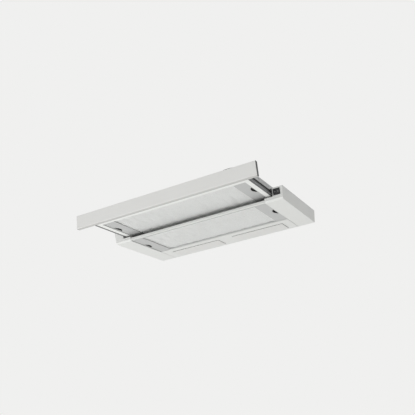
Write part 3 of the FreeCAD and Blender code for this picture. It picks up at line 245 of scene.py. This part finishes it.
slideZinc = {
    "colour": "#a8a9aa", "drift": "#9b9c9d", "edge": "#acadae", "edgeShare": 0.5, "roughness": 0.4,
    "spread": 0.08, "bump": 0.2, "depthMm": 0.02, "edgeMm": 0.3, "streakMm": 0.4, "runMm": 30,
    # the faces looking down are painted darker, a painted shade, and the base colour is lighter to make up for the
    # shade in the channel
    "turned": ("Z", "#626364"),
}


def rollFormedSteel(look=slideZinc):
    # cold-rolled strip, zinc plated: fine draw lines along the slide, edges painted a little lighter as a painted
    # highlight, and the faces looking down painted darker, a painted shade
    material, tree = newMaterial("rollFormedSteel")
    lines = addNode(tree, "TexNoise", {
        "Vector": stretched(tree, 1.0, look["streakMm"] / look["runMm"]), "Scale": perMm(look["streakMm"]),
        "Detail": 4.0})
    return finishSurface(material, look, lines.outputs["Fac"], lines.outputs["Fac"],
                         edgeTurnMask(tree, look["edgeMm"]), Metallic=0.4)


ballFinish = {
    "colour": "#d0d1d3", "drift": "#c2c3c5", "roughness": 0.14, "spread": 0.04, "bump": 0.1, "depthMm": 0.01,
    "edgeMm": 0.1, "grainMm": 0.3,
}


def groundBallSteel(look=ballFinish):
    # hardened balls, ground and greased: a mirror with a thin film
    material, tree = newMaterial("groundBallSteel")
    film = addNode(tree, "TexNoise", {"Vector": stretched(tree), "Scale": perMm(look["grainMm"]), "Detail": 2.0})
    return finishSurface(material, look, film.outputs["Fac"], film.outputs["Fac"], Metallic=1.0)


darkCap = {
    "colour": "#2f3031", "drift": "#292a2b", "edge": "#4a4b4c", "edgeShare": 0.4, "roughness": 0.48,
    "spread": 0.05, "bump": 0.4, "depthMm": 0.04, "edgeMm": 0.4, "grainMm": 0.7, "cloudMm": 40,
}
frontCap = dict(darkCap, turned=("Y", "#dededc"))  # the cap's front rim is sprayed with the panel
latchMoulding = dict(darkCap, colour="#232425", drift="#1d1e1f", edge="#3c3d3e", roughness=0.42)
controlMoulding = dict(darkCap, colour="#1b1c1d", drift="#161718", edge="#343536", roughness=0.4, grainMm=0.5)
# the rockers' light grey edge is a painted highlight on their rounded rims
rockerMoulding = dict(darkCap, colour="#343536", drift="#303132", edge="#8b8c8e", edgeShare=0.8, roughness=0.22,
                      depthMm=0.01)
signInk = dict(darkCap, colour="#a4a5a6", drift="#9d9e9f", edge="#aeafb0", roughness=0.35,
               depthMm=0.005)  # pad printed: a thin, even, slightly glossy film
ductMoulding = dict(darkCap, colour="#3a3b3c", drift="#343536", edge="#505152", roughness=0.45, grainMm=1.1)
blowerMoulding = dict(darkCap, colour="#87898b", drift="#7e8082", edge="#989a9c", roughness=0.4, grainMm=1.2)
boxMoulding = dict(darkCap, colour="#d6d5cf", drift="#cfcec8", edge="#e2e1dc", roughness=0.42, grainMm=0.9)
mountRubber = dict(darkCap, colour="#242424", drift="#2b2b2b", edge="#333333", roughness=0.75, grainMm=0.6)
gapShadeLook = dict(darkCap, colour="#57585a", drift="#505153", edge="#626365", roughness=0.6,
                    grainMm=0.5)  # a dark bead that paints the shade in the gap round each lamp cover


def mouldedPlastic(name, look):
    # injection moulded in a spark-eroded tool: an even fine grain, with the edges painted lighter, a painted
    # highlight
    material, tree = newMaterial(name)
    here = stretched(tree)
    grain = addNode(tree, "TexVoronoi", {"Vector": here, "Scale": perMm(look["grainMm"])}, feature="SMOOTH_F1")
    cloud = addNode(tree, "TexNoise", {"Vector": here, "Scale": perMm(look["cloudMm"]), "Detail": 3.0})
    return finishSurface(material, look, grain.outputs["Distance"], cloud.outputs["Fac"],
                         edgeTurnMask(tree, look["edgeMm"]), IOR=1.5)


motorSheet = {
    "colour": "#a3a7aa", "drift": "#8f9396", "edge": "#c3c6c8", "edgeShare": 0.6, "roughness": 0.33,
    "spread": 0.08, "bump": 0.3, "depthMm": 0.02, "edgeMm": 0.4, "cloudMm": 25, "drawMm": 0.6,
    "runShare": 0.1,  # the marks are drawn out to ten times that along the sheet
}
screwPlate = dict(motorSheet, colour="#c4c6c7", drift="#b4b6b7", edge="#dcdedf", roughness=0.26,
                  edgeMm=0.15)  # headed and zinc plated: small and bright
capacitorCan = dict(motorSheet, colour="#cfd1d2", drift="#c2c4c5", edge="#e0e1e2", roughness=0.28)


def drawnMetal(name, look):
    # pressed or turned: rings and draw marks with a thin oil cloud
    material, tree = newMaterial(name)
    marks = addNode(tree, "TexNoise", {
        "Vector": stretched(tree, look["runShare"], look["runShare"], 1.0), "Scale": perMm(look["drawMm"]),
        "Detail": 4.0})
    cloud = addNode(tree, "TexNoise", {"Vector": stretched(tree), "Scale": perMm(look["cloudMm"]), "Detail": 3.0})
    return finishSurface(material, look, marks.outputs["Fac"], cloud.outputs["Fac"],
                         edgeTurnMask(tree, look["edgeMm"]), Metallic=1.0)


opalSheet = {
    "colour": "#dbdbd9", "drift": "#d6d6d4", "edge": "#e8e8e6", "edgeShare": 0.5, "roughness": 0.3,
    "spread": 0.03, "bump": 0.4, "depthMm": 0.08, "edgeMm": 0.5, "ribMm": 2.4, "cloudMm": 70,
}


def opalAcrylic(look=opalSheet):
    # milky acrylic with fine prism ribs moulded across it: light sinks in, and the edges are painted lighter, a
    # painted glow
    material, tree = newMaterial("opalAcrylic")
    ribs = addNode(tree, "TexWave", {
        "Vector": stretched(tree), "Scale": perMm(look["ribMm"]) * 2 * math.pi / 20, "Distortion": 0.0},
        wave_type="BANDS", bands_direction="X")  # the texture's own bands repeat every 2 pi / 20
    cloud = addNode(tree, "TexNoise", {"Vector": stretched(tree), "Scale": perMm(look["cloudMm"]), "Detail": 2.0})
    return finishSurface(material, look, ribs.outputs["Fac"], cloud.outputs["Fac"],
                         edgeTurnMask(tree, look["edgeMm"]), IOR=1.49, Subsurface_Weight=0.3,
                         Subsurface_Scale=1.5 * mm, Subsurface_Radius=(1.0, 1.0, 1.0))


lampBulb = {
    "colour": "#f2f1ec", "drift": "#e9e8e2", "roughness": 0.45, "spread": 0.05, "bump": 0.2, "depthMm": 0.01,
    "edgeMm": 0.3, "frostMm": 0.3,
}


def frostedGlass(look=lampBulb):
    # etched inside: white and soft, with a clear outer skin
    material, tree = newMaterial("frostedGlass")
    frost = addNode(tree, "TexNoise", {"Vector": stretched(tree), "Scale": perMm(look["frostMm"]), "Detail": 2.0})
    return finishSurface(material, look, frost.outputs["Fac"], frost.outputs["Fac"],
                         IOR=1.5, Transmission_Weight=0.25, Coat_Weight=0.6)


finishes = {
    "frame_paint": powderCoatedSteel("powderCoatedTray", trayCoat),
    "panel_paint": powderCoatedSteel("powderCoatedPanel", panelCoatShadedUnder),
    "cover_paint": powderCoatedSteel("powderCoatedCover", panelCoat),
    "drawer_paint": powderCoatedSteel("powderCoatedDrawer", drawerCoat),
    "galvanised_steel": galvanisedSteel(),
    "filter_aluminium": rolledAluminium(),
    "filter_mesh": packedMesh(),
    "slide_steel": rollFormedSteel(),
    "ball_steel": groundBallSteel(),
    "cap_plastic": mouldedPlastic("mouldedEndCap", frontCap),
    "latch_plastic": mouldedPlastic("mouldedLatch", latchMoulding),
    "control_plastic": mouldedPlastic("mouldedControl", controlMoulding),
    "rocker_plastic": mouldedPlastic("mouldedRocker", rockerMoulding),
    "duct_plastic": mouldedPlastic("mouldedDuct", ductMoulding),
    "blower_plastic": mouldedPlastic("mouldedBlower", blowerMoulding),
    "box_plastic": mouldedPlastic("mouldedBox", boxMoulding),
    "rubber": mouldedPlastic("mountRubber", mountRubber),
    "motor_steel": drawnMetal("drawnSteel", motorSheet),
    "capacitor_aluminium": drawnMetal("drawnAluminium", capacitorCan),
    "opal_plastic": opalAcrylic(),
    "lamp_glass": frostedGlass(),
}
ownFinishes = {  # of the pieces made here
    "strand": expandedAluminium(),
    "screw": drawnMetal("zincPlatedScrew", screwPlate),
    "sign": mouldedPlastic("padPrintedSign", signInk),
    "gapBead": mouldedPlastic("darkGapBead", gapShadeLook),
}

for part in frame["record"]["subparts"]:
    cadMesh = nodes[part["node"]].data
    cadMesh.materials.clear()
    cadMesh.materials.append(finishes[part["material_slot"]])
print("materials made:", len(finishes) + len(ownFinishes))


# Filter pads: layers of expanded aluminium over a packed core, in place of the plain slabs

filterPad = {
    "cellMm": (13.0, 6.5), "innerCellMm": (9.1, 6.5), "strandMm": 1.1, "foilMm": 0.3, "layerStepMm": 0.35,
    "meetShare": 0.92, "coreCellMm": 3.4,
    "wavesMm": ((31, 180, 0.34), (47, -300, 0.3)),  # length, depth in which it drifts by one length, half height
}


def sagInward(x, y):
    # how far the pressed layers bulge back from the face: shallow folds that run from front to rear
    depth = 0.0
    for lengthMm, driftMm, heightMm in filterPad["wavesMm"]:
        phase = x / (lengthMm * mm) + y / (driftMm * mm)
        depth += heightMm * mm * (1 + math.sin(2 * math.pi * phase))
    return depth


def addBar(corners, faces, points, wide, tall):
    # a thin bar of square section along a row of points
    start = len(corners)
    for x, y, z in points:
        for side, up in ((-1, -1), (1, -1), (1, 1), (-1, 1)):
            corners.append((x, y + side * wide / 2, z + up * tall / 2 + sagInward(x, y)))
    for step in range(len(points) - 1):
        here = start + 4 * step
        for edge in range(4):
            other = (edge + 1) % 4
            faces.append((here + edge, here + other, here + 4 + other, here + 4 + edge))
    last = start + 4 * (len(points) - 1)
    faces.append((start + 3, start + 2, start + 1, start))
    faces.append((last, last + 1, last + 2, last + 3))


def expandedLayer(corners, faces, low, high, level, cell):
    # zigzag strands, each the mirror of the next, that meet at their peaks as slit and stretched foil does
    longWay, shortWay = cell[0] * mm, cell[1] * mm
    run, side = high.x - low.x, high.y - low.y
    rows, steps = int(side / (shortWay / 2)), int(run / (longWay / 2))
    rowStep, step = side / (rows + 1), run / steps
    wide, tall = filterPad["strandMm"] * mm, filterPad["foilMm"] * mm
    for row in range(rows):
        points = []
        for index in range(steps + 1):
            lean = rowStep / 2 if (row + index) % 2 else -rowStep / 2
            across = (row + 1) * rowStep + lean * filterPad["meetShare"]
            points.append((low.x + index * step, low.y + across, level))
        addBar(corners, faces, points, wide, tall)


def addCore(corners, faces, low, high, base):
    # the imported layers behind, as one folded block
    cell = filterPad["coreCellMm"] * mm
    across, deep = int((high.x - low.x) / cell), int((high.y - low.y) / cell)
    start = len(corners)
    for level in (base, high.z):
        for row in range(deep + 1):
            for column in range(across + 1):
                x = low.x + (high.x - low.x) * column / across
                y = low.y + (high.y - low.y) * row / deep
                corners.append((x, y, level + (sagInward(x, y) if level == base else 0)))
    line, back = across + 1, (across + 1) * (deep + 1)
    for row in range(deep):
        for column in range(across):
            here = start + row * line + column
            faces.append((here + line, here + line + 1, here + 1, here))
            faces.append((back + here, back + here + 1, back + here + line + 1, back + here + line))
    rim = [start + column for column in range(across)]
    rim += [start + row * line + across for row in range(deep)]
    rim += [start + deep * line + column for column in range(across, 0, -1)]
    rim += [start + row * line for row in range(deep, 0, -1)]
    for step, here in enumerate(rim):
        after = rim[(step + 1) % len(rim)]
        faces.append((here, after, after + back, here + back))


def makeFilterPad(node, body, name):
    low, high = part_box(node)
    corners, faces = [], []
    step = filterPad["layerStepMm"] * mm
    skin = low.z + filterPad["foilMm"] * mm / 2
    expandedLayer(corners, faces, low, high, skin, filterPad["cellMm"])
    expandedLayer(corners, faces, low, high, skin + step, filterPad["innerCellMm"])
    strands = len(faces)
    addCore(corners, faces, low, high, skin + 2 * step)
    pad = addPiece(name, newMesh(name, corners, faces, ownFinishes["strand"], finishes["filter_mesh"]))
    for face in pad.data.polygons[strands:]:
        face.material_index = 1
    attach(pad, body)
    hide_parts(node)


makeFilterPad("drawer_filter_mesh", "drawer", "drawerFilterPad")
makeFilterPad("rear_filter_mesh", "root", "rearFilterPad")
print("filter pads made")


# Pan-head screws with a cross recess, where the lid's lips and the collar's flange are held

panScrew = {
    "headMm": 3.4, "riseMm": 1.9, "rimShare": 0.35, "domeSteps": 8, "tipMm": 0.05, "turns": 40,
    "crossMm": 1.9, "slotMm": 0.75, "deepMm": 1.3, "taper": (0.5, 0.7), "overMm": 1.0,
    "washerMm": 4.2, "washerRiseMm": 0.5, "washerBevelMm": (0.15, 0.1), "crease": 35, "turnEach": 0.9,
}
screwSeats = {
    "lipEdgeMm": 0.6, "frontShares": (-0.38, 0, 0.38), "sideShares": (0.15, 0.5, 0.85),
    "flangeMm": 2.0, "flangeEdgeMm": 0.9, "flangeAngles": (45, 135, 225, 315), "flangeScale": 0.8,
}


def spun(profile, turns):
    # a profile of (radius, height) pairs turned about Z, closed at both ends
    corners = [(r * math.cos(2 * math.pi * step / turns), r * math.sin(2 * math.pi * step / turns), z)
               for r, z in profile for step in range(turns)]
    faces = [(row * turns + step, row * turns + (step + 1) % turns,
              (row + 1) * turns + (step + 1) % turns, (row + 1) * turns + step)
             for row in range(len(profile) - 1) for step in range(turns)]
    faces.append(tuple(reversed(range(turns))))
    faces.append(tuple((len(profile) - 1) * turns + step for step in range(turns)))
    return corners, faces


def crossCutter(size=panScrew):
    # the tapered bit of a cross-head screwdriver
    reach, half = size["crossMm"], size["slotMm"] / 2
    outline = []
    for turn in range(4):
        for x, y in ((reach, -half), (reach, half), (half, half)):
            angle = turn * math.pi / 2
            outline.append((x * math.cos(angle) - y * math.sin(angle), x * math.sin(angle) + y * math.cos(angle)))
    top, bottom = size["riseMm"] + size["overMm"], size["riseMm"] - size["deepMm"]
    taperX, taperY = size["taper"]
    corners = [(x, y, top) for x, y in outline] + [(x * taperX, y * taperY, bottom) for x, y in outline]
    count = len(outline)
    faces = [(count + step, count + (step + 1) % count, (step + 1) % count, step) for step in range(count)]
    faces.append(tuple(range(count)))
    faces.append(tuple(reversed(range(count, 2 * count))))
    return corners, faces


def screwShape(size=panScrew):
    # head and washer in one turned profile, then the recess is cut out of it
    head, rise, ring, washer = size["headMm"], size["riseMm"], size["washerRiseMm"], size["washerMm"]
    rim, steps = size["rimShare"], size["domeSteps"]
    bevelIn, bevelDown = size["washerBevelMm"]
    dome = [(head * math.cos(a), ring + (rise - ring) * (rim + (1 - rim) * math.sin(a)))
            for a in [math.pi / 2 * step / steps for step in range(steps)]]
    profile = [(washer, 0), (washer, ring - bevelDown), (washer - bevelIn, ring), (head, ring), *dome,
               (size["tipMm"], rise)]
    turned = addPiece("screwBlank", newMesh("screwBlank", *spun(profile, size["turns"])))
    cutter = addPiece("screwRecess", newMesh("screwRecess", *crossCutter()))
    cut = turned.modifiers.new("recess", "BOOLEAN")
    cut.operation, cut.object, cut.solver = "DIFFERENCE", cutter, "EXACT"
    shape = bpy.data.meshes.new_from_object(turned.evaluated_get(bpy.context.evaluated_depsgraph_get()))
    corners = [tuple(vertex.co) for vertex in shape.vertices]
    faces = [tuple(face.vertices) for face in shape.polygons]
    for piece in (turned, cutter):
        bpy.data.objects.remove(piece)
    return corners, faces


def addScrews(name, seats, scale=1.0):
    # one mesh of all the screws of a sheet, each turned a little further than the last as hands leave them
    corners, faces = [], []
    shape, shapeFaces = screwShape()
    for index, (place, outward) in enumerate(seats):
        turn = Matrix.Rotation(panScrew["turnEach"] * index, 3, "Z")
        aim = Vector(outward).to_track_quat("Z", "Y").to_matrix() @ turn
        start = len(corners)
        corners += [tuple(Vector(place) * mm + aim @ Vector(corner) * mm * scale) for corner in shape]
        faces += [tuple(start + corner for corner in face) for face in shapeFaces]
    screws = addPiece(name, newMesh(name, corners, faces, ownFinishes["screw"]))
    smoothUpTo(screws.data, panScrew["crease"])
    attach(screws, "root")


def seatsOnHousing(look=screwSeats):
    # along the lid's lips, in from the corners of the folded sheet
    low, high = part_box("housing_wrap")
    low, high = low / mm, high / mm
    level = high.z - panScrew["washerMm"] - look["lipEdgeMm"]
    middle = (low.x + high.x) / 2
    front = [((middle + share * (high.x - low.x), low.y, level), (0, -1, 0)) for share in look["frontShares"]]
    sides = [((x, low.y + share * (high.y - low.y), level), (out, 0, 0))
             for x, out in ((low.x, -1), (high.x, 1)) for share in look["sideShares"]]
    return front + sides


def seatsOnCollar(look=screwSeats):
    # four through the flange, between the ends of the flaps' pin
    low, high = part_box("duct_collar")
    centre = (low + high) / 2 / mm
    ring = (high.x - low.x) / 2 / mm - panScrew["washerMm"] * look["flangeScale"] - look["flangeEdgeMm"]
    top = low.z / mm + look["flangeMm"]
    return [((centre.x + ring * math.cos(a), centre.y + ring * math.sin(a), top), (0, 0, 1))
            for a in [math.radians(angle) for angle in look["flangeAngles"]]]


addScrews("housingScrews", seatsOnHousing())
addScrews("collarScrews", seatsOnCollar(), screwSeats["flangeScale"])
print("screws made")


# Dark beads in the gap round each lamp cover, put there to paint the gap's shade

gapBeadSize = {
    "flangeMm": 3.0, "gapMm": 0.8, "playMm": 0.03, "windowRoundMm": 4.0, "sheetMm": 1.5, "riseMm": 0.9,
    "shoulder": ((1.0, 0.6), (0.7, 0.15)), "cornerSteps": 6, "crease": 50,
}  # the shoulder: how far out and above the bead's tip, in half widths


def addGapBead(cover, name, size=gapBeadSize):
    # one section carried round a rectangle with round corners, along the middle of the gap
    low, high = (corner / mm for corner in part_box(cover))
    middle = size["gapMm"] / 2
    insetX, insetY = size["flangeMm"] - middle, size["flangeMm"] + middle
    left, right, front, rear = low.x + insetX, high.x - insetX, low.y + insetY, high.y - insetY
    half, radius = middle - size["playMm"], size["windowRoundMm"] - middle
    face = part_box("lamp_panel")[0].z / mm
    seat, tip = face + size["sheetMm"] - size["playMm"], face - size["riseMm"]
    shoulder = [(out * half, tip + up * half) for out, up in size["shoulder"]]
    section = [(-half, seat), (half, seat), *shoulder, (0, tip), *[(-out, level) for out, level in shoulder[::-1]]]
    spots = []
    for turn, (x, y) in enumerate(((right, rear), (left, rear), (left, front), (right, front))):
        x -= math.copysign(radius, x - (left + right) / 2)
        y -= math.copysign(radius, y - (front + rear) / 2)
        for step in range(size["cornerSteps"] + 1):
            angle = math.pi / 2 * (turn + step / size["cornerSteps"])
            spots.append((x, y, math.cos(angle), math.sin(angle)))
    corners = [((x + (radius + out) * c) * mm, (y + (radius + out) * s) * mm, level * mm)
               for x, y, c, s in spots for out, level in section]
    count, faces = len(section), []
    for here in range(len(spots)):
        after = (here + 1) % len(spots)
        for edge in range(count):
            other = (edge + 1) % count
            faces.append((here * count + other, after * count + other, after * count + edge, here * count + edge))
    gapBead = addPiece(name, newMesh(name, corners, faces, ownFinishes["gapBead"]))
    smoothUpTo(gapBead.data, size["crease"])
    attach(gapBead, "root")


addGapBead("lamp_cover_left", "lampGapBeadLeft")
addGapBead("lamp_cover_right", "lampGapBeadRight")
print("lamp seals made")


# Signs on the two rockers: a lamp and a fan, printed on the faces and moving with them

rockerSign = {"reachMm": 2.3, "lineMm": 0.38, "filmMm": 0.03, "clearMm": 20.0}
lampPicture = {  # shares of the sign's reach, and degrees
    "bulb": 0.5, "bulbArc": (-60, 240), "bulbSteps": 18, "lift": 0.2, "foot": (0.25, -0.5),
    "rays": (0.75, 1.0), "rayAngles": (0, 45, 90, 135, 180),
}
fanPicture = {
    "blade": 0.42, "bladeOut": 0.5, "bladeSteps": 16, "bladeAngles": (90, 210, 330), "clear": 0.16, "hub": 0.14,
    "hubSteps": 10,
}


def ribbon(points, wide):
    # a line of even width along a row of (x, z) points, as quads
    quads = []
    for (x0, z0), (x1, z1) in zip(points, points[1:]):
        length = math.hypot(x1 - x0, z1 - z0) or 1
        sideX, sideZ = (z0 - z1) / length * wide / 2, (x1 - x0) / length * wide / 2
        quads.append([(x0 + sideX, z0 + sideZ), (x1 + sideX, z1 + sideZ), (x1 - sideX, z1 - sideZ),
                      (x0 - sideX, z0 - sideZ)])
    return quads


def circlePoints(radius, steps, arc=(0, 360), x=0.0, z=0.0):
    angles = [math.radians(arc[0] + (arc[1] - arc[0]) * step / steps) for step in range(steps + 1)]
    return [(x + radius * math.cos(a), z + radius * math.sin(a)) for a in angles]


def lampLines(reach, look=lampPicture):
    # a bulb over its foot, with rays
    bulb = circlePoints(reach * look["bulb"], look["bulbSteps"], look["bulbArc"], 0, reach * look["lift"])
    half, level = (reach * share for share in look["foot"])
    rays = [[(reach * share * math.cos(a), reach * (look["lift"] + share * math.sin(a))) for share in look["rays"]]
            for a in [math.radians(angle) for angle in look["rayAngles"]]]
    return [bulb, [(-half, level), (half, level)], *rays]


def fanLines(reach, look=fanPicture):
    # round blades about a small hub, each open towards it
    blades, out = [], reach * look["bladeOut"]
    for angle in look["bladeAngles"]:
        x, z = out * math.cos(math.radians(angle)), out * math.sin(math.radians(angle))
        blade = circlePoints(reach * look["blade"], look["bladeSteps"], (0, 360), x, z)
        blades.append([spot for spot in blade if math.hypot(*spot) > reach * look["clear"]])
    return [*blades, circlePoints(reach * look["hub"], look["hubSteps"])]


def printSign(node, lines, name):
    # each line's quads are laid on the rocker's own face, a film's thickness out
    low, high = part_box(node)
    middle = (low + high) / 2
    start = low.y - rockerSign["clearMm"] * mm
    skin = BVHTree.FromObject(nodes[node], bpy.context.evaluated_depsgraph_get())
    corners, faces = [], []
    for line in lines:
        for quad in ribbon(line, rockerSign["lineMm"]):
            spots = [skin.ray_cast(Vector((middle.x + x * mm, start, middle.z + z * mm)), Vector((0, 1, 0)))
                     for x, z in quad]
            faces.append(tuple(range(len(corners), len(corners) + 4)))
            corners += [tuple(spot + normal * rockerSign["filmMm"] * mm) for spot, normal, *rest in spots]
    sign = addPiece(name, newMesh(name, corners, faces, ownFinishes["sign"]))
    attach(sign, node)


printSign("light_rocker", lampLines(rockerSign["reachMm"]), "lampSign")
printSign("fan_rocker", fanLines(rockerSign["reachMm"]), "fanSign")
print("rocker signs made")


# Camera, fitted to the hood's own corners in the photograph

camera = {
    "place": (0.8076, -1.7973, -0.6381), "turn": 0.4625, "lift": 0.3588, "roll": -0.1069,
    "pixels": 593.1, "picture": 415.0, "sensor": 36.0, "farAway": 50.0,
}


def makeCamera(look=camera):
    data = bpy.data.cameras.new("photoCamera")
    data.sensor_width = look["sensor"]
    data.lens = look["sensor"] * look["pixels"] / look["picture"]
    data.clip_end = look["farAway"]
    eye = addPiece("photoCamera", data)
    aim = Matrix.Rotation(look["turn"], 4, "Z") @ Matrix.Rotation(math.pi / 2 + look["lift"], 4, "X")
    eye.matrix_world = Matrix.Translation(look["place"]) @ aim @ Matrix.Rotation(look["roll"], 4, "Z")
    bpy.context.scene.camera = eye


# Studio: pale floor and air, an even soft light and a broad key from the user's left

studio = {
    "floorLevel": -3.6, "floorSize": 90.0, "floor": "#f1f1ef", "floorDrift": "#eeeeec", "fibreMm": 3.0,
    "floorLift": 0.14, "air": "#f0f0ef", "ambient": 0.76, "dimSide": 0.45, "keyPlace": (-1.0, -1.45, -2.0),
    "keyAim": (0.0, -0.25, 0.0), "keySize": 3.0, "keyPower": 35.0,
}


def makeFloor(look=studio):
    # matt paper sweep
    material, tree = newMaterial("mattPaper")
    fibre = addNode(tree, "TexNoise", {"Vector": stretched(tree), "Scale": perMm(look["fibreMm"]), "Detail": 4.0})
    tint = addNode(tree, "Mix", {
        0: fibre.outputs["Fac"], 6: toLinear(look["floor"]), 7: toLinear(look["floorDrift"])},
        data_type="RGBA").outputs[2]
    seen = addNode(tree, "LightPath").outputs["Is Camera Ray"]  # paler to the eye, with no more light on the hood
    lift = addNode(tree, "Math", {0: seen, 1: look["floorLift"]}, operation="MULTIPLY").outputs[0]
    shader = addNode(tree, "BsdfPrincipled", {"Base Color": tint, "Roughness": 0.9, "Emission Color": (1, 1, 1, 1),
                                              "Emission Strength": lift})
    addNode(tree, "OutputMaterial", {"Surface": shader.outputs["BSDF"]})
    half, level = look["floorSize"] / 2, look["floorLevel"]
    corners = [(-half, -half, level), (half, -half, level), (half, half, level), (-half, half, level)]
    floor = addPiece("studioFloor", newMesh("studioFloor", corners, [(0, 1, 2, 3)], material))


def makeAir(look=studio):
    world = bpy.data.worlds.new("studioAir")
    bpy.context.scene.world = world
    world.use_nodes = True
    tree = world.node_tree
    tree.nodes.clear()
    path = addNode(tree, "LightPath").outputs
    seen = addNode(tree, "Math", {0: path["Is Camera Ray"], 1: path["Is Glossy Ray"]}, operation="MAXIMUM").outputs[0]
    seen = addNode(tree, "Math", {0: seen, 1: path["Is Transmission Ray"]}, operation="MAXIMUM").outputs[0]
    shown = addNode(tree, "Background", {"Color": toLinear(look["air"]), "Strength": 1.0})
    toward = addNode(tree, "SeparateXYZ", {0: addNode(tree, "TexCoord").outputs["Generated"]}).outputs["X"]
    glow = addNode(tree, "MapRange", {  # the room is brighter towards the user's left
        "Value": toward, "From Min": -1.0, "To Min": look["ambient"] * (1 + look["dimSide"]),
        "To Max": look["ambient"] * (1 - look["dimSide"])}).outputs["Result"]
    light = addNode(tree, "Background", {"Color": (1, 1, 1, 1), "Strength": glow})
    both = addNode(tree, "MixShader", {0: seen, 1: light.outputs[0], 2: shown.outputs[0]})
    addNode(tree, "OutputWorld", {"Surface": both.outputs[0]})


def makeKey(look=studio):
    data = bpy.data.lights.new("softKey", "AREA")
    data.shape, data.size, data.energy = "DISK", look["keySize"], look["keyPower"]
    key = addPiece("softKey", data)
    aim = Vector(look["keyAim"]) - Vector(look["keyPlace"])
    key.visible_camera = False
    key.matrix_world = Matrix.Translation(look["keyPlace"]) @ aim.to_track_quat("-Z", "Y").to_matrix().to_4x4()


makeCamera()
makeFloor()
makeAir()
makeKey()
bpy.context.scene.view_settings.view_transform = "Standard"
print("camera and studio set")
